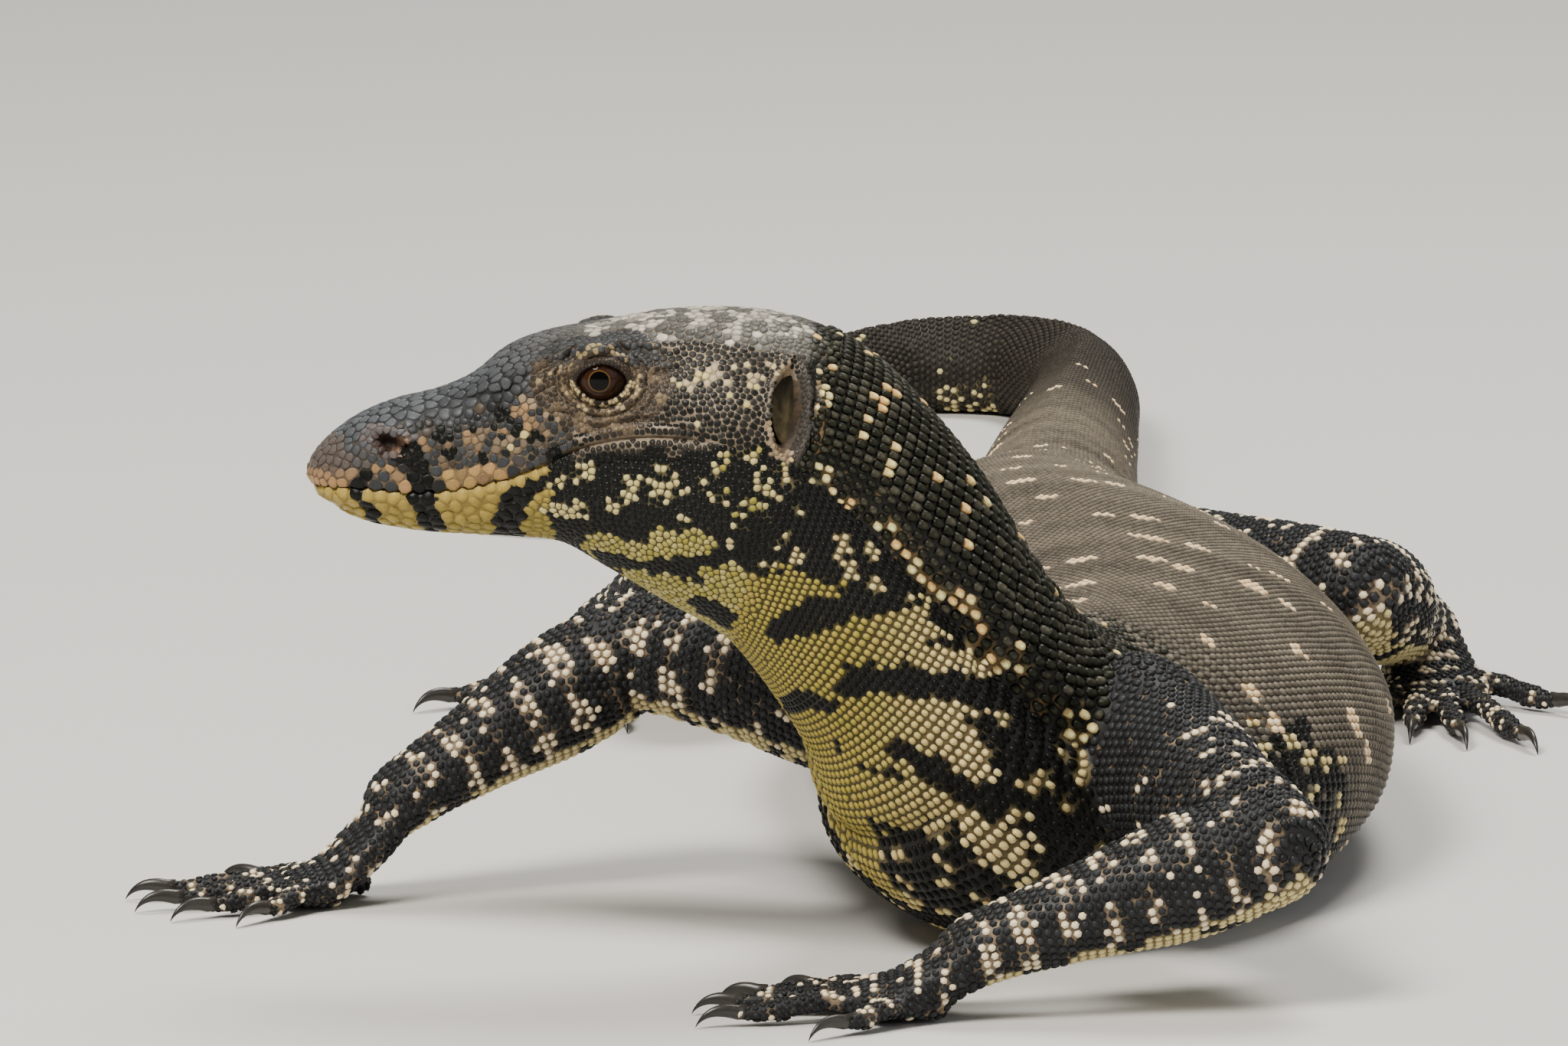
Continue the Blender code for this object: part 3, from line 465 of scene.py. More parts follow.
def relax(mesh, points, steps, weight):
    """Even out points towards their neighbours; weight is 0 where they must stay."""
    a, b = read_all(mesh.edges, "vertices", 2, np.int32).reshape(-1, 2).T
    count = np.bincount(a, minlength=len(points)) + np.bincount(b, minlength=len(points))
    for _ in range(steps):
        total = np.stack([np.bincount(a, column[b], len(points)) + np.bincount(b, column[a], len(points))
                          for column in points.T], axis=1)
        points = points + (total / count[:, None] - points) * weight[:, None]
    return points


def refine(mesh, keep):
    """Split every face whose points are all marked into four."""
    bm = bmesh.new()
    bm.from_mesh(mesh)
    bm.verts.ensure_lookup_table()
    edges = [edge for edge in bm.edges if keep[edge.verts[0].index] and keep[edge.verts[1].index]]
    bmesh.ops.subdivide_edges(bm, edges=edges, cuts=1, use_grid_fill=True)
    bm.to_mesh(mesh)
    bm.free()
    mesh.update()


def segment_distance(u, v, line):
    """Distance from points (u, v) to a line of points, signed positive above it, and share along it."""
    best = np.full(u.shape, 1e9)
    sign = np.ones(u.shape)
    along = np.zeros(u.shape)
    line = np.asarray(line, float)
    run = 0.0
    for a, b in zip(line[:-1], line[1:]):
        d = b - a
        length = np.hypot(*d)
        t = np.clip(((u - a[0]) * d[0] + (v - a[1]) * d[1]) / length**2, 0, 1)
        gap = np.hypot(u - a[0] - t * d[0], v - a[1] - t * d[1])
        closer = gap < best
        best = np.where(closer, gap, best)
        sign = np.where(closer, np.sign(d[0] * (v - a[1]) - d[1] * (u - a[0])), sign)
        along = np.where(closer, run + t * length, along)
        run += length
    return best * sign, along


def fine_line(line, step=1.0):
    """A line of a few points made smooth and fine."""
    line = np.array(line, float)
    knots = running_length(line)
    return spline(knots, line, np.arange(0, knots[-1], step))


MOUTH = fine_line(MOUTH_LINE, 2.0)
# Creases seen from the side: the line, its depth, the roll above it and its width.
FOLD_LINES = [
    ([(-66.0, 23.5), (-57.4, 26.4), (-50.9, 30.0), (-44.4, 33.2), (-37.8, 34.7), (-31.3, 35.0),
      (-24.8, 34.4), (-17.0, 33.6)], 0.75, 0.85, 0.9),
    ([(-54.1, 11.6), (-49.3, 13.2), (-42.7, 17.0), (-34.6, 20.2), (-28.0, 20.7), (-21.5, 19.4),
      (-13.3, 16.4), (-7.0, 14.6)], 0.60, 0.35, 0.7),
    ([(-52.0, 24.5), (-48.0, 27.2), (-45.0, 28.4)], 0.40, 0.20, 0.5),
    ([(-50.0, 21.6), (-45.0, 22.4), (-40.0, 21.4), (-34.0, 21.6), (-29.0, 24.4)], 0.40, 0.25, 0.6),
    ([(-29.5, 27.0), (-25.5, 30.4), (-20.0, 31.6)], 0.40, 0.25, 0.6),
    ([(4.5, 33.0), (6.6, 28.0), (6.2, 22.0), (3.0, 16.5), (-4.0, 12.0)], 0.55, 0.30, 0.8),
]


def seen(points):
    """Coordinates of points as seen square on from the left and ten degrees above."""
    return points[:, 0], SEEN_SINE * -np.abs(points[:, 1]) + SEEN_COSINE * (points[:, 2] - AIM)


def side_plane(points, feature):
    """Coordinates in the XZ plane about a feature of the head, turned by its tilt, and its side."""
    x, _, z = feature["at"]
    turn = math.radians(feature.get("tilt", 0.0))
    u = points[:, 0] - x
    v = points[:, 2] - z
    return u * math.cos(turn) - v * math.sin(turn), u * math.sin(turn) + v * math.cos(turn)


def lid_radius(points):
    """Distance from the middle of the eye's opening, as a share of the opening."""
    u, v = side_plane(points, LID)
    power = LID["power"]
    rho = (np.abs(u / LID["half"][0]) ** power + np.abs(v / LID["half"][1]) ** power) ** (1 / power)
    return np.where(np.abs(points[:, 1]) > 8.0, rho, 99.0)


def oval_radius(points, feature):
    """Distance from the middle of a nostril or ear, as a share of its half sizes."""
    u, v = side_plane(points, feature)
    rho = np.hypot(u / feature["half"][0], v / feature["half"][1])
    return np.where(np.abs(points[:, 1]) > 4.0, rho, 99.0)


def head_detail(points, normals):
    """Lids, nostrils, ears, lips and creases of the head, as moves of the skin's points."""
    moved = points.copy()
    side = np.sign(points[:, 1])
    # lids: a thin cover over the ball with a rolled rim and creases round it
    u, v = side_plane(points, EYE)
    rho = lid_radius(points)
    far = np.hypot(u, v)
    outward = np.abs(points[:, 1]) - EYE["at"][1]
    radius = EYE["radius"]
    cover = np.sqrt(np.maximum(LID["ball"] ** 2 - far**2, 0.0))
    cover = cover - 4.0 * np.maximum(far - 0.95 * LID["ball"], 0.0)
    blend = 0.5 + 0.5 * np.clip((cover - outward) / 1.6, -1, 1)
    joined = outward * (1 - blend) + cover * blend + 0.4 * blend * (1 - blend)
    crease = 0.30 * bell(rho - 1.14, 0.10) - 0.55 * bell(rho - 1.42, 0.09)
    crease += 0.28 * bell(rho - 1.62, 0.11) - 0.48 * bell(rho - 1.88, 0.09)
    crease += 0.28 * bell(rho - 2.1, 0.14) - 0.34 * bell(rho - 2.4, 0.12)
    joined += crease
    ball = np.sqrt(np.maximum(radius**2 - far**2, 0.0)) - 1.3
    inside = 1 - smooth(0.90, 1.04, rho)
    joined = joined * (1 - inside) + np.minimum(ball, joined) * inside
    near = (far < 13.0) & (outward > -5.0)
    fade = (1 - smooth(9.5, 13.0, far)) * smooth(-5.0, -2.5, outward)
    moved[:, 1] = np.where(near, moved[:, 1] + side * (joined - outward) * fade, moved[:, 1])
    # nostrils
    rho = oval_radius(points, NOSTRIL)
    close = (np.abs(points[:, 1]) > 5.0) & (rho < 3.5)
    push = -NOSTRIL["depth"] * (1 - smooth(0.62, 1.08, rho)) + 0.45 * bell(rho - 1.35, 0.28)
    moved += normals * np.where(close, push, 0.0)[:, None]
    # ears
    rho = oval_radius(points, EAR)
    u, v = side_plane(points, EAR)
    close = (np.abs(points[:, 1]) > 14.0) & (rho < 4.0)
    behind = smooth(-1.0, 1.6, u)
    push = -EAR["depth"] * (1 - smooth(0.80 - 0.40 * behind, 1.06 + 0.36 * behind, rho))
    push += (0.75 - 0.25 * np.tanh(u / 2)) * bell(rho - 1.2 - 0.32 * behind, 0.17)
    fold = bell(u - 6.9 + 0.02 * v * v, 1.1) * bell(v + 1.5, 4.6)
    push += 1.1 * fold - 0.5 * bell(u - 5.2, 0.8) * bell(v + 1.5, 6.0)
    moved += normals * np.where(close, push, 0.0)[:, None]
    # mouth
    d, along = segment_distance(points[:, 0], points[:, 2], MOUTH)
    total = running_length(MOUTH)[-1]
    fade = (1 - smooth(total - 9.0, total + 0.5, along)) * (points[:, 0] < -10.0)
    groove = -1.0 * bell(d, 0.34)
    lips = 0.40 * bell(d - 1.6, 1.0) + 0.45 * bell(d + 1.9, 1.2)
    row = -0.25 * bell(d - 3.9, 0.40) - 0.30 * bell(d + 4.6, 0.5)
    moved += normals * (fade * (groove + lips + row))[:, None]
    # creases of the cheek and the ridge of the brow, followed as they are seen from the side
    u, v = seen(points)
    flank = smooth(5.0, 9.0, np.abs(points[:, 1]))
    for line, depth, swell, width in FOLD_LINES:
        d, along = segment_distance(u, v, line)
        run = running_length(line)[-1]
        fade = np.clip(np.sin(np.clip(along / run, 0.001, 0.999) * math.pi), 0, 1) ** 0.6 * flank
        lift = swell * bell(d - 1.3 * width, 1.2 * width) - depth * bell(d, 0.8 * width)
        moved += normals * (fade * lift)[:, None]
    return moved


def hash_unit(x, y, z, seed):
    """A repeatable number from 0 to 1 for whole-number cells."""
    x, y, z = (value.astype(np.int64) for value in (x, y, z))
    mixed = (x * 73856093) ^ (y * 19349663) ^ (z * 83492791)
    mixed = (mixed ^ np.int64(seed * 2654435761 & 0xFFFFFFFF)) & 0xFFFFFFFF
    mixed = ((mixed ^ (mixed >> 15)) * 2246822519) & 0xFFFFFFFF
    mixed = ((mixed ^ (mixed >> 13)) * 3266489917) & 0xFFFFFFFF
    return ((mixed ^ (mixed >> 16)) & 0xFFFFFF) / float(0xFFFFFF)


def noise(points, size, seed):
    """Smooth noise from 0 to 1 over points with three columns."""
    q = np.asarray(points, float) / size
    cell = np.floor(q)
    f = q - cell
    f = f * f * (3 - 2 * f)
    total = 0.0
    for dx in (0, 1):
        for dy in (0, 1):
            for dz in (0, 1):
                share = (f[:, 0] if dx else 1 - f[:, 0]) * (f[:, 1] if dy else 1 - f[:, 1])
                share = share * (f[:, 2] if dz else 1 - f[:, 2])
                total = total + share * hash_unit(cell[:, 0] + dx, cell[:, 1] + dy, cell[:, 2] + dz, seed)
    return total


def dots(a, b, pitch_a, pitch_b, jitter, seed):
    """Distance to the nearest of a jittered, staggered field of dots, and that dot's random number."""
    best = np.full(a.shape, 1e9)
    pick = np.zeros(a.shape)
    row = np.floor(a / pitch_a)
    for i in (-1, 0, 1):
        r = row + i
        shift = 0.5 * (r % 2)
        column = np.floor(b / pitch_b - shift)
        for j in (-1, 0, 1):
            c = column + j
            zero = np.zeros_like(r)
            ja = (hash_unit(r, c, zero, seed) - 0.5) * jitter
            jb = (hash_unit(r, c, zero + 1, seed) - 0.5) * jitter
            gap = np.hypot(a - (r + 0.5 + ja) * pitch_a, b - (c + 0.5 + shift + jb) * pitch_b)
            closer = gap < best
            best = np.where(closer, gap, best)
            pick = np.where(closer, hash_unit(r, c, zero + 2, seed), pick)
    return best, pick


# Colours, as linear values.
SLATE = (0.068, 0.073, 0.080)
CROWN = (0.082, 0.079, 0.071)
CRUST = (0.56, 0.51, 0.43)
BLACK = (0.0045, 0.005, 0.004)
NAPE_GREY = (0.010, 0.0105, 0.006)
TEMPLE = (0.008, 0.0085, 0.008)
CREAM = (0.62, 0.54, 0.25)
BREAST = (0.84, 0.69, 0.33)
THROAT = (0.32, 0.27, 0.046)
ORANGE = (0.60, 0.35, 0.13)
TAN = (0.37, 0.29, 0.20)
LIP = (0.36, 0.255, 0.060)
UPPER_LIP = (0.34, 0.20, 0.085)
SNOUT_TIP = (0.086, 0.072, 0.063)
OLIVE = (0.016, 0.012, 0.002)
BROWN_GAP = (0.024, 0.012, 0.004)
BACK = (0.120, 0.102, 0.076)
BACK_GAP = (0.028, 0.022, 0.016)
FLANK = (0.052, 0.047, 0.040)
SPOT = (0.86, 0.68, 0.44)
LIMB = (0.026, 0.028, 0.031)
LIMB_SPOT = (0.80, 0.70, 0.49)
BELLY = (0.62, 0.52, 0.26)

# Marks on the side of jaw, throat and neck: two ends and a radius, in millimetres ahead of and above
# the middle of the head's pivot, as seen square from the side.
PALE_MARKS = [
    (-37.2, -5.0, -17.0, -5.6, 3.4), (-29.5, -12.3, -13.5, -18.8, 4.2), (-13.5, -12.3, 2.0, -14.6, 3.0),
    (-8.7, -18.8, 1.4, -18.8, 3.3), (0.8, -11.7, 9.7, -15.3, 2.1), (-8.7, -23.0, 9.1, -31.9, 4.5),
    (6.7, -26.6, 28.7, -20.6, 4.4), (28.1, -28.9, 39.4, -28.3, 3.3), (6.1, -40.8, 32.8, -38.4, 4.5),
    (15.0, -43.8, 32.8, -46.7, 4.8), (34.6, -42.0, 38.8, -49.1, 3.6), (26.9, -52.1, 34.0, -56.2, 3.6),
    (5.0, -50.0, 24.0, -58.0, 4.5), (-2.0, -40.0, 6.0, -52.0, 4.0), (38.0, -60.0, 46.0, -68.0, 4.0),
]
DARK_MARKS = [
    (-37.8, -6.7, -26.5, -9.6, 1.1), (-26.5, -9.6, -13.5, -7.6, 1.5), (-13.5, -7.6, -2.7, -4.0, 2.4),
    (-17.0, -16.8, -12.3, -19.4, 2.1), (-1.0, -21.8, 6.7, -17.0, 2.4), (6.7, -17.0, 19.8, -16.1, 1.8),
    (0.8, -36.7, 9.7, -37.3, 1.8), (12.1, -33.1, 23.9, -31.3, 1.7), (23.9, -31.3, 42.8, -34.3, 3.0),
    (22.7, -45.5, 29.3, -49.1, 1.8), (29.3, -49.1, 42.8, -57.4, 2.7), (31.7, -18.2, 42.8, -21.2, 2.7),
]
SIDE_BLACK = [
    (-84.3, 9.3, -86.4, 6.6, 1.1), (-86.0, 7.4, -83.1, 0.9, 1.2), (-73.3, 9.8, -71.3, -1.2, 2.4),
    (-75.4, 14.3, -72.9, 10.3, 2.0), (-51.7, 6.2, -54.6, 3.7, 2.1), (-54.1, 3.7, -55.8, -2.0, 2.8),
    (-42.3, 7.0, -37.0, 0.5, 1.5), (-37.8, 0.5, -29.7, -2.0, 2.0), (-49.3, 7.6, -43.5, 10.7, 0.9),
    (-68.8, 17.6, -68.8, 17.6, 1.3), (-67.2, 13.9, -67.1, 13.9, 1.1), (-63.1, 18.8, -63.0, 18.8, 0.8),
    (-57.4, 22.5, -55.4, 21.7, 1.3), (-54.1, 19.6, -54.1, 19.6, 1.0), (-60.7, 13.1, -60.6, 13.1, 0.8),
    (-50.5, 18.0, -50.4, 18.0, 1.0), (-47.6, 14.3, -46.0, 15.2, 0.8), (-77.8, 12.3, -76.6, 13.1, 1.0),
    (-27.6, 7.6, -27.5, 7.6, 1.1), (-19.1, 11.1, -13.3, 13.9, 1.5),
]
SIDE_TAN = [
    (-94.1, 9.8, -88.4, 8.6, 1.6), (-81.5, 11.1, -77.8, 8.6, 1.5), (-66.4, 8.6, -58.2, 7.0, 1.8),
    (-67.2, 4.5, -59.0, 4.5, 1.1), (-63.9, 16.8, -62.3, 15.2, 1.2), (-64.8, 11.1, -59.0, 9.8, 1.0),
    (-58.6, 18.8, -56.6, 18.4, 0.8), (-53.3, 23.3, -50.9, 20.0, 1.1), (-72.9, 16.0, -71.3, 15.6, 0.7),
]
SIDE_CREAM = [
    (-55.4, 16.0, -55.3, 16.0, 0.9), (-52.8, 13.4, -52.7, 13.4, 0.9), (-51.7, 18.0, -51.6, 18.0, 0.8),
    (-47.2, 7.4, -47.1, 7.4, 1.2), (-43.1, 9.8, -39.5, 10.8, 1.3), (-39.5, 10.3, -40.9, 8.5, 1.0),
    (-45.0, 8.1, -44.9, 8.1, 0.9), (-32.1, 8.6, -32.0, 8.6, 0.9), (-24.8, 10.9, -23.3, 9.8, 1.1),
    (-35.0, 2.7, -30.5, 5.4, 1.2), (-30.5, 7.6, -22.3, 8.6, 1.4), (-26.0, 4.5, -22.7, 5.8, 1.5),
    (-47.6, 2.5, -40.7, 2.3, 1.6), (-17.4, 29.6, -15.6, 29.2, 0.9), (-22.7, 28.4, -22.7, 28.4, 0.8),
    (-20.7, 28.5, -20.6, 28.5, 0.7), (-8.0, 23.7, -8.0, 23.7, 0.7), (-6.0, 27.4, -5.9, 27.4, 0.7),
    (-16.6, 20.0, -16.5, 20.0, 0.7), (-12.1, 25.4, -12.0, 25.4, 0.7), (-9.7, 14.3, -9.6, 14.3, 0.7),
    (-26.4, 27.0, -26.3, 27.0, 0.7), (-16.2, 8.0, -16.1, 8.0, 1.1), (-13.8, 9.0, -13.7, 9.0, 0.7),
    (-19.5, 6.2, -19.4, 6.2, 0.8), (-14.6, 4.4, -12.1, 4.5, 0.8), (-20.7, 0.5, -19.1, 0.3, 0.8),
    (-4.8, 9.3, -3.6, 8.2, 1.1), (1.3, 9.0, 1.7, 7.8, 1.1), (-4.8, 6.8, -3.1, 5.8, 1.0),
    (-0.7, 5.0, -0.6, 5.0, 0.9), (3.0, 2.3, 3.1, 2.3, 1.0), (-3.1, 1.3, -3.1, 1.3, 0.8),
    (-9.3, -1.3, -8.5, -2.0, 0.9), (-10.9, -4.0, -10.8, -4.0, 0.8), (-1.5, -4.4, 1.3, -2.4, 0.8),
    (3.4, -6.5, 3.5, -6.5, 0.7), (6.2, 8.6, 7.1, 11.9, 0.8), (-9.3, 13.5, -5.6, 13.3, 0.7),
    (-13.2, 12.6, -12.2, 12.4, 0.6),
]
TEMPLE_STREAK = [(-26.0, 27.0), (-17.0, 29.4), (-8.0, 30.4), (0.0, 31.0)]
BROW_LINE = [(-50.0, 28.2), (-45.7, 31.0), (-40.8, 33.2), (-35.8, 34.1), (-31.0, 33.2)]


def capsule(u, v, mark):
    """Distance outside a mark with round ends; negative inside."""
    au, av, bu, bv, radius = mark
    du, dv = bu - au, bv - av
    t = np.clip(((u - au) * du + (v - av) * dv) / (du * du + dv * dv + 1e-9), 0, 1)
    return np.hypot(u - au - t * du, v - av - t * dv) - radius


def nearest_mark(u, v, marks):
    """Distance outside the nearest of several marks."""
    return np.min([capsule(u, v, mark) for mark in marks], axis=0)


def row_spots(s, arc, pitch, step, long_half, wide_half, seed):
    """Small spots in rows round the body: how far outside one, and its random number."""
    row = np.round(s / pitch)
    best = np.full(s.shape, 9.0)
    pick = np.zeros(s.shape)
    zero = np.zeros_like(row)
    base = np.floor(arc / step)
    for j in (-1, 0, 1):
        cell = base + j
        ja = (hash_unit(row, cell, zero, seed) - 0.5) * step * 0.7
        js = (hash_unit(row, cell, zero + 1, seed) - 0.5) * pitch * 0.22
        size = 0.55 + 0.75 * hash_unit(row, cell, zero + 2, seed)
        across = (arc - (cell + 0.5) * step - ja) / wide_half
        gap = np.hypot(across, (s - row * pitch - js) / long_half) / size
        closer = gap < best
        best = np.where(closer, gap, best)
        pick = np.where(closer, hash_unit(row, cell, zero + 3, seed), pick)
    return best, pick


def mix(a, b, share):
    """Blend of two colours, or of rows of colours, by a share for each row."""
    a = np.asarray(a, float)
    b = np.asarray(b, float)
    share = np.asarray(share, float)[:, None]
    return a * (1 - share) + b * share


def paint(colour, gap, where, tone, gap_tone=None):
    """Set the colours of scales, and of the skin between them, where a test holds."""
    for target, value in ((colour, tone), (gap, gap_tone)):
        if value is not None:
            value = np.asarray(value)
            target[where] = value[where] if value.ndim == 2 else value


def trunk_colours(s, arc, half, xyz, chance, other):
    """Trunk and tail: dusty brown rings with rows of small pale spots, then dark with pale bands."""
    far = np.abs(arc)
    low = half - far
    grain = noise(xyz, 6.0, 3) - 0.5
    wide = noise(xyz, 17.0, 5) - 0.5
    down = smooth(0.42, 0.80, far / half)
    rings = np.cos((s - GIRDLE - 6.0 + 4.0 * wide) / 25.0 * 2 * math.pi)
    base = np.array(BACK) * (0.74 + 0.40 * chance + 0.55 * wide + 0.12 * rings)[:, None]
    colour = mix(base, FLANK, down * 0.8)
    gap = mix(BACK_GAP, (0.014, 0.012, 0.010), down)
    reach = 46.0 + 44.0 * smooth(0.40, 0.75, far / half)
    withers = smooth(GIRDLE + reach, GIRDLE + 0.35 * reach, s + 14.0 * grain + 10.0 * (chance - 0.5))
    withers = withers * smooth(0.16, 0.50, far / half)
    colour = mix(colour, (0.018, 0.021, 0.024), withers)
    gap = mix(gap, BLACK, withers)
    t = (s - VENT) / (TAIL_TIP - VENT)
    dark = smooth(0.10, 0.30, t)
    colour = mix(colour, mix((0.040, 0.033, 0.025), BLACK, 0.5 * chance), dark)
    gap = mix(gap, (0.010, 0.009, 0.008), dark)
    edge, pick = row_spots(s - GIRDLE - 6.0 + 4.0 * wide, arc, 25.0, 9.0, 2.2, 2.7, 11)
    spot = (edge < 1.0) & (pick > 0.50) & (low > 12.0) & (t < 0.28)
    paint(colour, gap, spot, mix(SPOT, ORANGE, other * 0.55), (0.16, 0.10, 0.05))
    edge, pick = row_spots(s - GIRDLE + 7.0 + 4.0 * wide, arc + 3.0, 25.0, 10.0, 2.2, 2.6, 13)
    spot = (edge < 1.0) & (pick > 0.60) & (low > 8.0) & (low < 46.0) & (t < 0.0)
    paint(colour, gap, spot, mix(SPOT, CREAM, other * 0.8), (0.13, 0.09, 0.04))
    belly = smooth(14.0, 20.0, 42.0 - low + 9.0 * grain)
    belly = np.where((s > GIRDLE - 20.0) & (s < VENT), belly, 0.0)
    paint(colour, gap, belly > 0.5, mix(BELLY, CREAM, chance * 0.4))
    gap = mix(gap, (0.16, 0.12, 0.05), belly)
    bars = (np.sin((s + 5.0 * wide) / 27.0 * 2 * math.pi) > 0.30) & (low > 8.0 + 10.0 * wide)
    bars &= (s > GIRDLE - 20.0) & (s < VENT) & (low < 33.0 + 12.0 * grain)
    paint(colour, gap, bars, BLACK, BLACK)
    phase = np.sqrt(np.maximum(t, 0.0)) * 25.0 + 0.35 * grain
    wave = np.abs(phase - np.floor(phase) - 0.5)
    under = np.clip(far / half, 0, 1)
    strength = smooth(0.42, 0.62, t) + 0.6 * smooth(0.45, 0.8, under) * smooth(0.10, 0.3, t)
    band = wave < 0.10 + 0.10 * under + 0.08 * t
    pale = band & (chance < strength) & (t > 0.02)
    paint(colour, gap, pale, mix(CREAM, BELLY, other), (0.08, 0.06, 0.02))
    return colour, gap


def body_colours(s, angle, arc, half, xyz, chance, other):
    """Colours of the body's scales and of the skin between them."""
    count = len(s)
    side = np.abs(angle)
    far = np.abs(arc)
    low = half - far
    mirror = np.empty((count, 3))
    for begin in range(0, count, 40000):
        part = slice(begin, begin + 40000)
        mirror[part] = body_points(s[part], side[part][:, None])[:, 0]
    flipped = np.where(angle >= 0, 0.0, 1.0)
    grain = noise(xyz, 6.0, 3) - 0.5
    fine = noise(xyz, 3.2, 19) - 0.5
    wide = noise(xyz, 17.0, 5) - 0.5
    su, sv = seen(mirror)
    u = su + 1.8 * grain + 0.8 * fine + flipped * 1.5
    v = sv + 1.8 * (noise(xyz, 5.0, 7) - 0.5) + 0.8 * fine - flipped * 1.2
    colour, gap = trunk_colours(s, arc, half, xyz, chance, other)

    # nape and neck
    neck = (s > NAPE - 6.0) & (s < GIRDLE + 30.0)
    line, _ = fold_angle(s)
    above = neck & (side < line - 0.02) & (s < GIRDLE + 4.0 + 18.0 * chance)
    paint(colour, gap, above, mix(NAPE_GREY, (0.044, 0.041, 0.029), chance**3), BLACK)
    cluster, pick = dots(s, arc, 9.0, 8.0, 0.8, 29)
    lone = 0.988 - 0.055 * smooth(NAPE + 52.0, NAPE + 12.0, s)
    fleck = above & (((cluster < 1.3) & (pick > 0.72) & (other > 0.35)) | (other > lone))
    paint(colour, gap, fleck, mix(ORANGE, CREAM, chance * 0.7), (0.05, 0.03, 0.012))
    ragged = s + 26.0 * grain + 18.0 * (chance - 0.5)
    throat = (side >= line - 0.02) & (s > NAPE - 60.0) & (ragged < GIRDLE + 40.0)
    edge = nearest_mark(u, v, PALE_MARKS)
    dark = nearest_mark(u, v, DARK_MARKS)
    speck_gap, pick = dots(s, far, 6.2, 5.6, 0.8, 23)
    speck = (speck_gap < 1.1 + 1.0 * pick) & (pick > 0.42)
    under_throat = (low < 13.0 + 8.0 * wide) & (np.sin(s / 16.0 + 4.0 * wide) > -0.55)
    pale = ((edge < 0.0) | under_throat) & (dark > 0.0)
    fringe = (edge > 0.0) & (edge < 2.2) & (chance < 0.30) & (dark > 0.5)
    zone = throat & (s > NAPE - 10.0)
    paint(colour, gap, zone, BLACK, (0.007, 0.006, 0.005))
    lone = zone & speck & (dark > 0.6) & (edge > 1.5)
    paint(colour, gap, lone, mix(CREAM, ORANGE, other * 0.5), (0.03, 0.022, 0.01))
    region = zone & (pale | fringe)
    rosy = smooth(12.0, 46.0, u)
    paint(colour, gap, region, mix(mix(THROAT, BREAST, rosy), ORANGE, 0.22 * chance),
          mix(OLIVE, BROWN_GAP, rosy))
    seam = neck & (np.abs(side - line + 0.08 + 0.04 * np.sin(s / 3.0)) < 0.038) & (s > NAPE + 5.0)
    seam &= noise(xyz, 3.0, 87) + 0.40 * chance > 0.76
    paint(colour, gap, seam, mix(CREAM, ORANGE, other), (0.05, 0.03, 0.012))

    # crown and temple
    head = s < NAPE - 2.0
    x, z = mirror[:, 0], mirror[:, 2]
    crown = mix(SLATE, CROWN, smooth(-62.0, -34.0, x))
    crown = crown * (0.70 + 0.50 * chance + 0.4 * wide)[:, None]
    head_gap = mix((0.007, 0.007, 0.006), (0.16, 0.135, 0.10), smooth(-56.0, -28.0, x))
    paint(colour, gap, head, crown, head_gap)
    crust = head & (x > -40.0) & (side < 0.75) & (noise(xyz, 2.6, 37) + 0.30 * other > 0.54 + 0.40 * side)
    paint(colour, gap, crust, mix(CRUST, CROWN, chance * 0.8))
    mouth, _ = segment_distance(x, z, MOUTH)
    mouth = np.where((x > -14.0) & (z < 111.0), -np.abs(mouth), mouth)
    temple = head & (side > 0.62) & (x > -42.0) & (mouth > -2.6 + 3.0 * fine)
    paint(colour, gap, temple, mix(TEMPLE, (0.028, 0.026, 0.023), chance ** 2),
          mix(TAN, (0.17, 0.13, 0.085), smooth(0.30, 0.70, grain + 0.5)))
    streak, _ = segment_distance(su, sv, TEMPLE_STREAK)
    lit = temple & (np.abs(streak) < 1.7 + 2.0 * grain) & (other > 0.66)
    paint(colour, gap, lit, mix(TAN, CREAM, chance * 0.8), (0.24, 0.17, 0.10))
    # the side of the snout
    cheek = head & (x <= -42.0) & (side > 0.85) & (mouth > 0.2) & (sv < 27.0)
    unrolled = np.stack((x, z, angle), axis=1)
    blotch = noise(unrolled, 3.4, 41)
    shade = smooth(16.0, 3.0, mouth)
    tone = mix(mix(SLATE, BLACK, 0.35 + 0.6 * chance), (0.23, 0.155, 0.09),
               np.clip((blotch - 0.60) * 6.0, 0, 1) * shade)
    dusty = smooth(-66.0, -52.0, x) * smooth(3.0, 7.0, mouth) * (other > 0.72)
    tone = mix(tone, (0.26, 0.19, 0.12), dusty)
    tone_gap = mix((0.010, 0.009, 0.007), (0.12, 0.085, 0.048), shade)
    front_fade = smooth(-92.0, -78.0, x)
    paint(colour, gap, cheek, mix(colour, tone, front_fade), mix(gap, tone_gap, front_fade))
    rim = head & (mouth > 0.0) & (mouth < 3.2 + 4.0 * grain) & (x < -54.0)
    tan_edge = nearest_mark(su + fine, sv + grain, SIDE_TAN)
    rosy = rim & ((noise(unrolled, 5.0, 43) > 0.50) | (tan_edge < 0.3)) & (other > 0.14)
    paint(colour, gap, rosy, mix(mix(UPPER_LIP, LIP, chance * 0.7), (0.13, 0.085, 0.05),
                                 0.75 * smooth(0.62, 0.95, other)), (0.16, 0.10, 0.045))
    tanned = head & (tan_edge < 0.2) & (side > 0.7) & (other > 0.30) & ~rosy
    paint(colour, gap, tanned, mix(UPPER_LIP, (0.16, 0.11, 0.065), chance), (0.14, 0.09, 0.05))
    tip = head & (x < -84.0 - 5.0 * smooth(2.0, 9.0, mouth)) & (mouth > 0.0) & (mouth < 10.0)
    paint(colour, gap, tip, mix(SNOUT_TIP, UPPER_LIP, smooth(5.0, 1.0, mouth)),
          (0.055, 0.038, 0.030))
    ring = oval_radius(mirror, NOSTRIL)
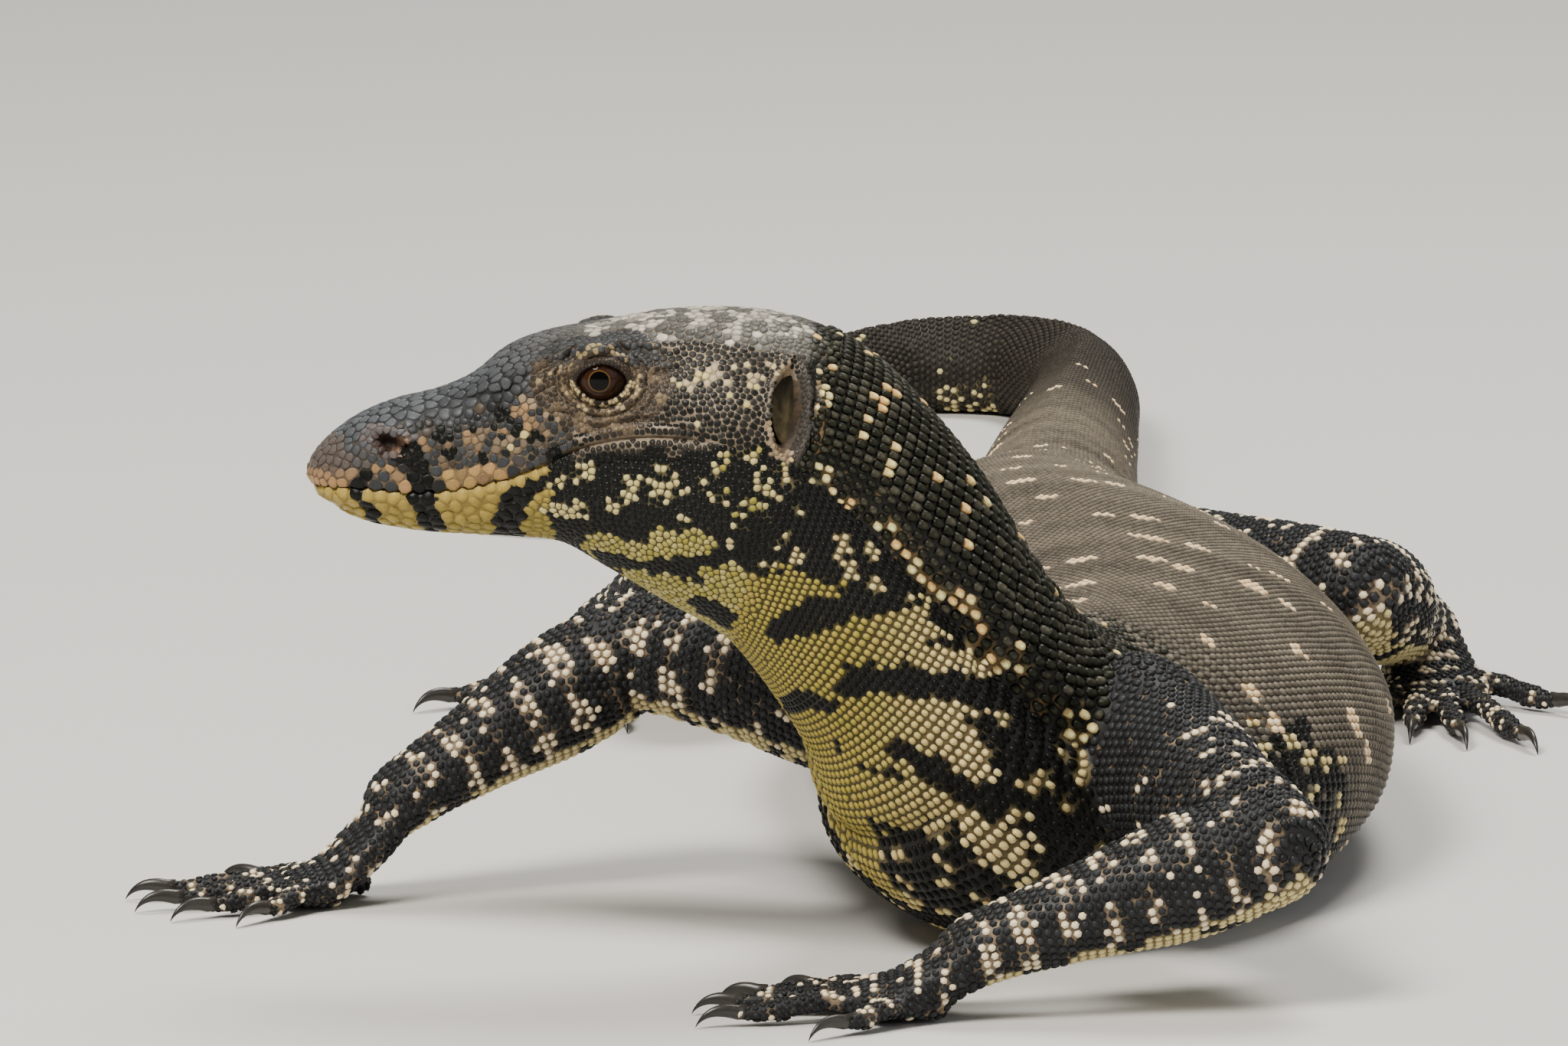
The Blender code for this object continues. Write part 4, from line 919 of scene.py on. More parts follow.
    close = head & (ring < 1.9)
    paint(colour, gap, close, mix((0.13, 0.105, 0.095), (0.075, 0.080, 0.092), chance),
          (0.06, 0.045, 0.038))
    # painted shade in the nostril's hollow: dark on its front side, turning to the tan of its rear inner
    # wall
    nu, _ = side_plane(mirror, NOSTRIL)
    inside = np.where(head, 1 - smooth(1.00, 1.45, ring), 0.0)
    tone = mix((0.028, 0.015, 0.011), (0.30, 0.19, 0.12), smooth(-0.9, 2.2, nu))
    colour, gap = mix(colour, tone, inside), mix(gap, tone, inside)

    # lower jaw and the throat below it
    jaw = head & (mouth < 0.0) & ~(temple & (x > -46.0))
    tone = mix(LIP, (0.27, 0.215, 0.045), np.clip(-mouth / 14.0, 0, 1))
    paint(colour, gap, jaw, tone * (0.90 + 0.16 * chance)[:, None], tone * 0.70)
    rear = head & (x > -47.0 - 3.0 * grain) & (mouth < 0.0) & ((x < -12.0) | (z < 112.0)) & ~temple
    paint(colour, gap, rear, BLACK, (0.009, 0.008, 0.006))
    rear_speck = rear & speck & (other > 0.5) & (dark > 0.3) & (x > -16.0)
    paint(colour, gap, rear_speck, mix(CREAM, THROAT, chance), (0.05, 0.04, 0.012))
    pouch = head & (mouth < -4.0) & ((edge < 0.0) | (fringe & (x > -40.0) & (other < 0.5))) & (dark > 0.0)
    pouch &= (sv < -1.5) | (noise(xyz, 2.3, 91) > 0.40)
    paint(colour, gap, pouch, mix(THROAT, CREAM, 0.5 * chance), OLIVE)
    belt = head & (dark < 0.0) & (mouth < -2.0)
    paint(colour, gap, belt, BLACK, BLACK)
    black_edge = nearest_mark(su + 0.8 * fine, sv + 0.8 * grain, SIDE_BLACK)
    paint(colour, gap, head & (black_edge < 0.15) & (side > 0.6), BLACK, (0.007, 0.006, 0.005))
    cream_edge = nearest_mark(su, sv, SIDE_CREAM)
    lit = (s < NAPE + 12.0) & (side > 0.62) & (side < 2.3) & (cream_edge < 0.10) & (other > 0.25)
    paint(colour, gap, lit, mix(CREAM, LIP, 0.4 * chance), (0.028, 0.021, 0.009))

    # lids, ears and the fold behind them
    lids = lid_radius(mirror)
    beyond = head & (lids < 2.9)
    above_eye = smooth(2.0, 4.5, mirror[:, 2] - LID["at"][2])
    tone = mix((0.038, 0.030, 0.023), (0.036, 0.038, 0.040), above_eye)
    warm = 0.7 * np.clip((noise(xyz, 1.9, 83) - 0.52) * 5.0, 0, 1) * (1 - above_eye)
    tone = mix(tone, (0.20, 0.145, 0.085), warm) * (0.6 + 0.8 * chance)[:, None]
    paint(colour, gap, beyond, tone, np.array((0.13, 0.090, 0.052)) * (1 - 0.75 * above_eye)[:, None])
    upper = mirror[:, 2] > LID["at"][2] + 0.8
    inner = head & (lids < 1.24)
    paint(colour, gap, inner, mix((0.36, 0.27, 0.14), CREAM, chance * 0.6), (0.09, 0.060, 0.036))
    paint(colour, gap, inner & upper, (0.050, 0.036, 0.024), (0.030, 0.021, 0.014))
    below = head & (lids > 1.24) & (lids < 1.62) & (mirror[:, 2] < LID["at"][2] + 1.0) & (chance > 0.35)
    paint(colour, gap, below, mix((0.24, 0.175, 0.10), CREAM, 0.4 * other))
    brow_line, _ = segment_distance(su, sv, BROW_LINE)
    pale_brow = head & (np.abs(brow_line) < 0.48) & (side > 0.5) & (chance > 0.2)
    paint(colour, gap, pale_brow, mix((0.20, 0.145, 0.08), CREAM, 0.30 * other))
    # painted shade along the crease round the lid
    crease = head & (lids >= 1.27) & (lids <= 1.36)
    paint(colour, gap, crease, (0.045, 0.033, 0.022), (0.022, 0.015, 0.011))
    # painted shade where the lid's edge tucks against the ball
    edge_dark = head & (lids < 1.05)
    paint(colour, gap, edge_dark, (0.02, 0.014, 0.010), (0.012, 0.008, 0.006))
    ring = oval_radius(mirror, EAR)
    eu, ev = side_plane(mirror, EAR)
    rim = (s < NAPE + 14.0) & (ring < 1.17 + 0.20 * smooth(2.0, 6.0, -ev) + 0.06 * grain) & (eu < 1.6)
    paint(colour, gap, rim, mix((0.22, 0.158, 0.098), (0.34, 0.26, 0.16), chance), (0.24, 0.17, 0.105))
    rear = (s < NAPE + 16.0) & (ring < 1.6) & (eu >= 2.0)
    paint(colour, gap, rear, (0.040, 0.036, 0.032), (0.055, 0.042, 0.030))
    # painted shade in the ear's pit: darkest in its middle and towards its back
    pit = (s < NAPE + 14.0) & (ring < 1.02)
    shade = smooth(0.70, 1.05, ring) * (1 - 0.6 * smooth(-1.0, 2.0, eu))
    pit_tone = mix((0.022, 0.016, 0.011), (0.15, 0.105, 0.065), shade)
    paint(colour, gap, pit, pit_tone, pit_tone)
    fold = (s < NAPE + 22.0) & (np.abs(eu - 7.2 + 0.02 * ev * ev) < 1.1)
    fold &= (np.abs(ev + 1.0) < 6.5) & (chance > 0.55)
    paint(colour, gap, fold, mix(ORANGE, CREAM, other), (0.16, 0.10, 0.05))
    return colour, gap


def limb_colours(tube, s, arc, half, xyz, chance, other):
    """Colours of the scales of a limb and of the skin between them."""
    count = len(s)
    kind = tube["kind"]
    colour = mix(LIMB, BLACK, 0.7 * chance)
    gap = np.tile(np.array((0.010, 0.009, 0.009)), (count, 1))
    low = smooth(0.62, 0.85, np.abs(arc) / half)
    pitch = dict(upper=10.0, lower=9.0, palm=7.0, digit=6.4)[kind]
    thick = dict(upper=2.1, lower=2.0, palm=1.5, digit=1.1)[kind]
    wave = s + 1.2 * np.sin(arc / 4.5) + 3.0 * (noise(xyz, 9.0, 61) - 0.5)
    off = np.abs(wave / pitch - np.round(wave / pitch)) * pitch
    band = off < thick * (2.9 * noise(xyz, 4.6, 67) - 0.78)
    free = s > dict(upper=40.0).get(kind, -99.0) - 14.0 * chance
    spot = ((band & (chance > 0.36) & free) | (other > 0.968)) & (low < 0.8)
    near = band & (low < 0.8) & free
    gap[near] = (0.045, 0.026, 0.014)
    paint(colour, gap, spot, mix(LIMB_SPOT, SPOT, other * 0.6), (0.10, 0.06, 0.03))
    if kind in ("upper", "lower"):
        under = (low > 0.5) & (noise(xyz, 5.0, 61) > 0.40)
        paint(colour, gap, under, mix(BELLY, CREAM, chance * 0.5), (0.09, 0.06, 0.02))
    if kind == "upper" and tube["group"].startswith("hind"):
        hip = smooth(34.0, 8.0, s + 16.0 * (noise(xyz, 5.0, 97) - 0.5) + 12.0 * (chance - 0.5)) * ~spot
        colour = mix(colour, np.array(BACK) * 0.85, hip)
        gap = mix(gap, BACK_GAP, hip)
    return colour, gap


def colour_attribute(mesh, values):
    """Store a colour for each point of a mesh, for its material and for the bake."""
    layer = mesh.color_attributes.new("marking", "FLOAT_COLOR", "POINT")
    rgba = np.ones((len(values), 4), np.float32)
    rgba[:, :3] = np.clip(values, 0, 1)
    layer.data.foreach_set("color", rgba.ravel())


def add_node(tree, kind, **values):
    """A shader node with some of its inputs set."""
    made = tree.nodes.new("ShaderNode" + kind)
    for name, value in values.items():
        made.inputs[name.replace("_", " ")].default_value = value
    return made


def hide_material(name, roughness, spread, grain, depth, coat=0.0, shine=0.3):
    """A scaly or leathery finish: markings with fine mottling, uneven gloss and a fine bump."""
    made = bpy.data.materials.new(name)
    made.use_nodes = True
    tree = made.node_tree
    shader = tree.nodes["Principled BSDF"]
    for socket, value in (("Coat Weight", coat), ("Coat Roughness", 0.35), ("Specular IOR Level", shine)):
        shader.inputs[socket].default_value = value
    marking = add_node(tree, "VertexColor")
    marking.layer_name = "marking"
    where = add_node(tree, "TexCoord")
    fine = add_node(tree, "TexNoise", Scale=grain, Detail=4.0, Roughness=0.6)
    broad = add_node(tree, "TexNoise", Scale=grain / 7, Detail=2.0)
    shade = add_node(tree, "MapRange", From_Min=0.3, From_Max=0.7, To_Min=0.80, To_Max=1.18)
    gloss = add_node(tree, "MapRange", From_Min=0.35, From_Max=0.65,
                     To_Min=roughness - spread, To_Max=roughness + spread)
    tint = add_node(tree, "VectorMath")
    tint.operation = "SCALE"
    bump = add_node(tree, "Bump", Strength=0.5, Distance=depth)
    for start, out, end, into in (
            (where, "Object", fine, "Vector"), (where, "Object", broad, "Vector"),
            (fine, "Fac", shade, "Value"), (marking, "Color", tint, 0), (shade, "Result", tint, "Scale"),
            (tint, "Vector", shader, "Base Color"), (broad, "Fac", gloss, "Value"),
            (gloss, "Result", shader, "Roughness"), (fine, "Fac", bump, "Height"),
            (bump, "Normal", shader, "Normal")):
        tree.links.new(start.outputs[out], end.inputs[into])
    return made


def add_object(name, data):
    """A new object in the scene."""
    made = bpy.data.objects.new(name, data)
    bpy.context.scene.collection.objects.link(made)
    return made


def build_mesh(name, points, triangles, look, colours=None, uv=None):
    """A mesh object from arrays of points in millimetres and triangles, smooth shaded."""
    mesh = bpy.data.meshes.new(name)
    count = len(triangles)
    mesh.vertices.add(len(points))
    mesh.vertices.foreach_set("co", place(points).astype(np.float32).ravel())
    mesh.loops.add(count * 3)
    mesh.loops.foreach_set("vertex_index", triangles.astype(np.int32).ravel())
    mesh.polygons.add(count)
    mesh.polygons.foreach_set("loop_start", np.arange(0, count * 3, 3, dtype=np.int32))
    mesh.polygons.foreach_set("use_smooth", np.ones(count, bool))
    mesh.update(calc_edges=True)
    if uv is not None:
        layer = mesh.uv_layers.new(name="OFBake")
        layer.uv.foreach_set("vector", uv[triangles.ravel()].astype(np.float32).ravel())
    if colours is not None:
        colour_attribute(mesh, colours)
    mesh.materials.append(look)
    return add_object(name, mesh)


def wrinkles(points):
    """Folds of loose skin, pressed inwards: round each shoulder and hip, and across each joint."""
    push = np.zeros(len(points))
    for name, limb in LIMBS.items():
        root = limb["root"]
        elbow = limb["elbow"]
        wave = 2.0 * (noise(points, 14.0, 95) - 0.5)
        far = np.linalg.norm((points - root - (elbow - root) * 0.25) * (1.0, 1.0, 0.8), axis=1)
        depth, outer = (0.62, 62.0) if name.startswith("fore") else (0.40, 48.0)
        shut = smooth(17.0, 24.0, far) * (1 - smooth(outer - 18.0, outer, far))
        shut = shut * smooth(6.0, 18.0, points[:, 2])
        push -= depth * shut * (0.5 + 0.5 * np.cos((far + wave) / 4.6 * 2 * math.pi))
        bend = np.linalg.norm(points - elbow, axis=1)
        along = (points - elbow) @ unit(limb["wrist"] - root)
        pleats = 0.5 + 0.5 * np.cos((along + wave) / 4.2 * 2 * math.pi)
        push -= 0.35 * (1 - smooth(11.0, 19.0, bend)) * pleats
    return push


def make_skin(tubes):
    """Fuse body and limbs, smooth the joins, and cut the finer forms of the head."""
    holder = add_object("tubes", tube_mesh(tubes))
    fuse = holder.modifiers.new("fuse", "REMESH")
    fuse.mode = "VOXEL"
    fuse.voxel_size = VOXEL * MM
    bpy.context.view_layer.update()
    skin = bpy.data.meshes.new_from_object(holder.evaluated_get(bpy.context.evaluated_depsgraph_get()))
    bpy.data.objects.remove(holder, do_unlink=True)
    points = read_points(skin)
    points = relax(skin, points, 3, np.full(len(points), 0.5))
    near = np.zeros(len(points))
    for limb in LIMBS.values():
        root = limb["root"]
        out = root + (limb["elbow"] - root) * 0.35
        near = np.maximum(near, 1 - smooth(16.0, 34.0, np.linalg.norm(points - out, axis=1)))
        for joint in ("elbow", "wrist"):
            gap = np.linalg.norm(points - limb[joint], axis=1)
            near = np.maximum(near, 0.7 * (1 - smooth(8.0, 18.0, gap)))
    points = relax(skin, points, 16, 0.5 * near)
    write_points(skin, points)
    points = points + read_normals(skin) * wrinkles(points)[:, None]
    write_points(skin, points)
    refine(skin, (points[:, 2] > 62.0) & (points[:, 0] < 30.0))
    points = read_points(skin)
    head = (points[:, 2] > 63.0) & (points[:, 0] < 28.0)
    points = relax(skin, points, 2, 0.5 * head)
    d, _ = segment_distance(points[:, 0], points[:, 2], MOUTH)
    sharp = (lid_radius(points) < 2.9) | (oval_radius(points, NOSTRIL) < 2.2)
    sharp |= (oval_radius(points, EAR) < 1.9) | (np.abs(d) < 2.4) & (points[:, 0] < -9.0)
    write_points(skin, points)
    refine(skin, sharp & head & (np.abs(points[:, 1]) > 0.0))
    points = read_points(skin)
    head = (points[:, 2] > 63.0) & (points[:, 0] < 28.0)
    points = relax(skin, points, 1, 0.4 * head)
    write_points(skin, points)
    points = head_detail(points, read_normals(skin))
    points[:, 2] = np.maximum(points[:, 2], COAT)
    write_points(skin, points)
    return skin


def param_lookup(tubes):
    """A search tree over the tubes' points, with the tube, length, angle, arc and half girth of each."""
    rows = []
    for i, tube in enumerate(tubes):
        n, m = tube["rings"].shape[:2]
        rows.append((tube["rings"].reshape(-1, 3), np.full(n * m, i), np.repeat(tube["s"], m),
                     np.tile(tube["angle"], n), tube["arc"].ravel(), np.repeat(tube["half"], m)))
    points, *table = [np.concatenate(column) for column in zip(*rows)]
    return search_tree(points), table


def params_at(points, lookup):
    """Tube, length, angle, arc and half girth of the nearest tube point for each point."""
    tree, table = lookup
    index = np.array([tree.find(point)[1] for point in points.tolist()])
    return [column[index] for column in table]


def colours_for(tubes, params, xyz):
    """Scale colour and gap colour for points of any tubes."""
    cell = np.floor(xyz * 7).T
    chance, other = hash_unit(*cell, 71), hash_unit(*cell, 73)
    colour, gap = np.zeros((2, len(xyz), 3))
    for i in np.unique(params[0]):
        mask = params[0] == i
        s, angle, arc, half, *rest = (column[mask] for column in (*params[1:], xyz, chance, other))
        if i == 0:
            colour[mask], gap[mask] = body_colours(s, angle, arc, half, *rest)
        else:
            colour[mask], gap[mask] = limb_colours(tubes[i], s, arc, half, *rest)
    return colour, gap


FINE_SIDES = 9                   # sides of a detailed scale
PLAIN_SIDES = 6
SCALE_SHARE = 0.95               # how much of its room a scale takes
SUNK = 0.34                      # how deep a scale's foot is set in the skin
FLOOR_GAP = 0.02                 # least height of any point over the floor
BAKE_PATCH = 0.0015              # half width of a scale's patch in the bake's layout
# Rings of a scale from its foot up: share of its width and of its height.
FINE_RINGS = [(0.95, 0.46), (0.68, 0.90)]
SMALL_RINGS = [(0.86, 0.68)]
PLAIN_RINGS = [(0.84, 0.62)]
LIMB_TUBES = 8                   # upper and lower length, palm and five digits
LIMB_SCALES = dict(upper=(1.95, 2.0), lower=(1.9, 1.9), palm=(1.75, 1.8), digit=(1.6, 1.6))
NEARLY_NOTHING = 1e-300          # stands in for nought where no neighbour limits a scale
DART_GRID = 4.0                  # cell of the grid in which nearby scales are looked for


def ring_at(tube, s):
    """Points, arcs and angles round a tube at one length, in rising order of arc."""
    i = int(np.clip(np.searchsorted(tube["s"], s) - 1, 0, len(tube["s"]) - 2))
    t = (s - tube["s"][i]) / max(tube["s"][i + 1] - tube["s"][i], 1e-9)
    points = tube["rings"][i] * (1 - t) + tube["rings"][i + 1] * t
    arc = tube["arc"][i] * (1 - t) + tube["arc"][i + 1] * t
    order = np.argsort(tube["angle"])
    return points[order], arc[order], tube["angle"][order]


def lay_rows(tube, owner, start, end, pitch, width, inside=None, from_belly=False, jitter=0.10):
    """Staggered rows of scale centres round a tube; pitch and width are numbers, or change along it."""
    out = []
    s = start
    row = 0
    while s < end:
        step = pitch(s) if callable(pitch) else pitch
        w = width(s) if callable(width) else width
        points, arc, angle = ring_at(tube, s)
        low, high = arc[0], arc[-1]
        half = max(high, -low)
        count = int(half / w) + 2
        k = np.arange(-count, count + 1) + 0.5 * (row % 2)
        a = k * w
        if from_belly:
            a = np.where(k >= 0, high - np.abs(k) * w, low + np.abs(k) * w)
        a = a[(a >= low) & (a <= high)]
        a = a + (RNG.random(len(a)) - 0.5) * jitter * w
        fine = np.interp(a, arc, np.arange(len(arc)))
        cell = np.clip(fine.astype(int), 0, len(arc) - 2)
        t = fine - cell
        spots = points[cell] * (1 - t)[:, None] + points[cell + 1] * t[:, None]
        theta = angle[cell] * (1 - t) + angle[cell + 1] * t
        keep = inside(s, theta, a, half) if inside else slice(None)
        chosen = zip(spots[keep], theta[keep], a[keep])
        out += [(*p, owner, s, th, aa, half, w, step) for p, th, aa in chosen]
        s += step * (1 + 0.04 * (RNG.random() - 0.5))
        row += 1
    return out


def stretch(points, back=False):
    """Shorten the snout along its length before packing, so that its plates come out long."""
    out = points.copy()
    x = points[..., 0]
    share = 1.0 / SNOUT_STRETCH if back is False else SNOUT_STRETCH
    out[..., 0] = np.where(x < SNOUT_FROM, SNOUT_FROM + (x - SNOUT_FROM) * share, x)
    return out


def head_size(pts, side, mouth):
    """Width of the scales wanted at points of the head."""
    x, z = pts[:, 0], pts[:, 2]
    lids = lid_radius(pts)
    size = 1.70 + 0.38 * smooth(-46.0, -60.0, x)
    flank = (side > 0.80) & (x < -44.0) & (mouth < 14.0)
    size = np.where(flank, 1.22 + 0.36 * smooth(-62.0, -78.0, x), size)
    size = np.where((np.abs(mouth) < 4.4) & (x < -52.0), 2.2, size)
    size = np.where(x < -89.0, 1.7, size)
    brow = (np.abs(np.abs(pts[:, 1]) - 10.5) < 3.0) & (x > -50.0) & (x < -24.0) & (side < 0.85)
    size = np.where(brow, 2.5, size)
    size = np.where((side > 0.62) & (x > -46.0), 1.32, size)
    size = np.where(mouth < 0.0, 1.25 + 1.05 * smooth(-46.0, -56.0, x), size)
    high = smooth(3.0, 6.0, z - LID["at"][2])
    size = np.where(lids < 3.2, 1.15 + 0.30 * high, size)
    size = np.where(lids < 2.3, 0.95 + 0.25 * high, size)
    size = np.where(lids < 1.35, 0.72, size)
    ear = oval_radius(pts, EAR)
    size = np.where(ear < 1.9, 1.15, size)
    size = np.where(ear < 1.4, 0.95, size)
    size = np.where(oval_radius(pts, NOSTRIL) < 1.8, 1.25, size)
    return size


def head_scales(skin_points, params):
    """Scale centres of the head: rows at the lips and lids, and a close packing over the rest."""
    owner, s, angle = params[:3]
    head = (owner == 0) & (s < NAPE + 2.0) & (skin_points[:, 2] > 60.0)
    index = np.nonzero(head)[0]
    pts = skin_points[index]
    x = pts[:, 0]
    side = np.abs(angle[index])
    lids = lid_radius(pts)
    mouth, _ = segment_distance(x, pts[:, 2], MOUTH)
    size = head_size(pts, side, mouth)
    lips = (np.abs(mouth) < 4.4) & (x < -12.0)
    bad = (lids < 1.07) | (oval_radius(pts, EAR) < 1.04) | (oval_radius(pts, NOSTRIL) < 1.10)
    bad |= (np.abs(mouth) < 0.55) & (x < -12.0)
    order = RNG.permutation(len(index))
    # lips and lids first, so that the rows beside the mouth and the eye stand in order
    first = np.where(lips, np.abs(np.abs(mouth) - 1.35), 5.0)
    first = first + np.where(lids < 1.25, np.abs(lids - 1.15) * 6 - 3.0, 0.0)
    order = order[np.argsort(first[order], kind="stable")]
    chosen = throw_darts(stretch(pts), size * 0.86, bad, order)
    held = (lips & (np.abs(mouth) < 2.2) | (lids < 1.25))[chosen]
    return pts[chosen], size[chosen], held


def dart_cell(point):
    """The cell of the search grid that a point lies in."""
    return tuple(int(value // DART_GRID) for value in point)


def throw_darts(pts, reach, bad, order, taken=None):
    """Pick points in order, each no nearer to another than their reach; taken points count too."""
    cells = {}
    for point, radius in zip(*(taken or ((), ()))):
        cells.setdefault(dart_cell(point), []).append((*point, radius))
    chosen = []
    points, reaches, refused = pts.tolist(), reach.tolist(), bad.tolist()
    steps = [(dx, dy, dz) for dx in (-1, 0, 1) for dy in (-1, 0, 1) for dz in (-1, 0, 1)]
    for i in order.tolist():
        if refused[i]:
            continue
        px, py, pz = points[i]
        r = reaches[i]
        kx, ky, kz = dart_cell(points[i])
        near = (other for dx, dy, dz in steps for other in cells.get((kx + dx, ky + dy, kz + dz), ()))
        for qx, qy, qz, other in near:
            limit = 0.5 * (r + other)
            if taken is None:
                limit = min(r, limit)
            if (qx - px) ** 2 + (qy - py) ** 2 + (qz - pz) ** 2 < limit * limit:
                break
        else:
            cells.setdefault((kx, ky, kz), []).append((px, py, pz, r))
            chosen.append(i)
    return np.array(chosen, int)


def nearest_on(tree, points):
    """The nearest places of a surface, their faces and how far away they are."""
    spots, _, faces, away = zip(*[tree.find_nearest(point) for point in points.tolist()])
    return np.array([spot[:] for spot in spots]), faces, np.array(away)


def spread_out(points, size, held, tree, steps=10):
    """Push crowded points apart over the surface until they pack evenly."""
    for _ in range(steps):
        near = neighbours(points, 7)[:, 1:]
        diff = points[:, None, :] - points[near]
        dist = np.maximum(np.linalg.norm(diff, axis=2), 1e-6)
        want = 0.5 * (size[:, None] + size[near])
        force = np.clip(want * 1.04 - dist, 0, 1.0) / dist
        move = (diff * force[..., None]).sum(axis=1) * 0.28
        move[held] *= 0.15
        points = nearest_on(tree, points + move)[0]
    return points


def outline(centres, normals, along, sizes, sharp):
    """How far each scale reaches in each direction before it meets its neighbours."""
    near = neighbours(centres, 11)[:, 1:]
    diff = centres[near] - centres[:, None, :]
    across = np.cross(normals, along)
    du, dv, lift = (np.einsum("ijk,ik->ij", diff, axis) for axis in (along, across, normals))
    reach = np.hypot(du, dv)
    fair = sizes[:, None] / (sizes[:, None] + sizes[near])
    limit = np.maximum(reach * fair, 1e-6)
    limit = np.where(np.abs(lift) > 1.6 * reach + 1.0, 1e6, limit)
    turn = 2 * math.pi * np.arange(FINE_SIDES) / FINE_SIDES
    facing = np.maximum(np.cos(turn[None, :, None] - np.arctan2(dv, du)[:, None, :]), 0.0)
    total = ((facing / limit[:, None, :]) ** sharp[:, None, None]).sum(axis=2)
    edge = np.maximum(total, NEARLY_NOTHING) ** (-1.0 / sharp[:, None])
    most = np.where(centres[:, 0] < SNOUT_FROM, 0.95, 0.78)
    return np.minimum(edge, (sizes * most)[:, None]) * SCALE_SHARE, turn, across


def plates(centres, normals, along, across, edge, turn, height, keel, lean, rings):
    """Closed plates: a foot sunk in the skin, one or two rising rings and a top."""
    n = edge.shape[1]
    sine = np.sin(turn)
    flat = along[:, None, :] * (edge * np.cos(turn))[..., None]
    flat = flat + across[:, None, :] * (edge * sine)[..., None]
    layers = []
    for width, rise in [(1.0, -SUNK)] + rings:
        lift = np.full((len(edge), 1), rise)
        if rise > 0:
            lift = height[:, None] * rise + keel[:, None] * (0.5 - np.abs(sine)) * width
        level = centres[:, None, :] + flat * width + normals[:, None, :] * lift[..., None]
        layers.append(level + along[:, None, :] * (lean * max(rise, 0.0))[:, None, None])
    top = centres + normals * (height + keel * 0.6)[:, None] + along * lean[:, None]
    verts = np.concatenate(layers + [top[:, None, :]], axis=1)
    faces = []
    for k in range(len(layers) - 1):
        for j in range(n):
            a, b = k * n + j, k * n + (j + 1) % n
            faces += [(a, b, b + n), (a, b + n, a + n)]
    last = (len(layers) - 1) * n
    faces += [(last + j, last + (j + 1) % n, last + n) for j in range(n)]
    faces += [(0, j + 1, j) for j in range(1, n - 1)]
    return verts, np.array(faces)


def nape_width(s):
    """Width of the raised scales of the nape along the neck."""
    return 1.8 + 0.75 * smooth(NAPE, NAPE + 42.0, s) - 0.55 * smooth(GIRDLE - 18.0, GIRDLE + 16.0, s)


def throat_width(s):
    """Width of the flat scales of throat and breast."""
    return 1.32 + 0.28 * smooth(NAPE, NAPE + 30.0, s) + 0.60 * smooth(NAPE + 30.0, GIRDLE + 10.0, s)


def tail_pitch(s):
    """Length of the tail's scales."""
    return 2.45 - 0.75 * np.clip((s - VENT) / (TAIL_TIP - VENT), 0, 1)


def tail_width(s):
    """Width of the tail's scales."""
    return 2.15 - 1.0 * np.clip((s - VENT) / (TAIL_TIP - VENT), 0, 1)


def wanted_size(tubes, params):
    """Scale width wanted at each point of the skin."""
    owner, s, angle = params[:3]
    kinds = np.array([tube["kind"] for tube in tubes])[owner]
    size = np.full(len(s), 1.85)
    for kind, (_, width) in LIMB_SCALES.items():
        size = np.where(kinds == kind, width, size)
    body = kinds == "body"
    above = np.abs(angle) < fold_angle(s)[0]
    size = np.where(body & (s < NECK_END), np.where(above, nape_width(s), throat_width(s)), size)
    return np.where(body & (s > VENT), tail_width(s), size)


def over_fold(s, theta, *_):
    """Which places round the neck lie above its fold."""
    return np.abs(theta) < fold_angle(np.array(s))[0] - 0.02


def scale_rows(tubes):
    """Scales laid in rows: nape, throat, back and flank, belly, tail and limbs."""
    body = tubes[0]
    rows = lay_rows(body, 0, NAPE + 2.2, NECK_END, nape_width, nape_width, over_fold, jitter=0.20)
    rows += lay_rows(body, 0, NAPE + 2.2, NECK_END, lambda s: 1.12 * throat_width(s), throat_width,
                     lambda *place: ~over_fold(*place), from_belly=True, jitter=0.26)
    rows += lay_rows(body, 0, GIRDLE + 18.2, VENT, 1.72, 1.85, lambda s, th, a, h: h - np.abs(a) > 44.0)
    rows += lay_rows(body, 0, GIRDLE + 18.2, VENT, 2.8, 2.5, lambda s, th, a, h: h - np.abs(a) <= 43.2,
                     from_belly=True)
    rows += lay_rows(body, 0, VENT + 1.0, TAIL_TIP - 1.0, tail_pitch, tail_width)
    for i, tube in enumerate(tubes[1:], start=1):
        begin = dict(upper=14.0, lower=0.0, palm=0.0, digit=-1.0)[tube["kind"]]
        rows += lay_rows(tube, i, begin, tube["s"][-1] - 0.5, *LIMB_SCALES[tube["kind"]])
    rows = np.array(rows)
    return rows[rows[:, 2] > 1.2]


def thin_out(points, sizes, drop):
    """Keep points that aren't dropped and don't crowd an earlier one."""
    tree = search_tree(points)
    drop = drop.tolist()
    sizes = sizes.tolist()
    for i, point in enumerate(points.tolist()):
        if drop[i]:
            continue
        for _, j, dist in tree.find_range(point, sizes[i] * 0.72):
            if j > i and not drop[j] and dist < 0.36 * (sizes[i] + sizes[j]):
                drop[j] = True
    return ~np.array(drop)


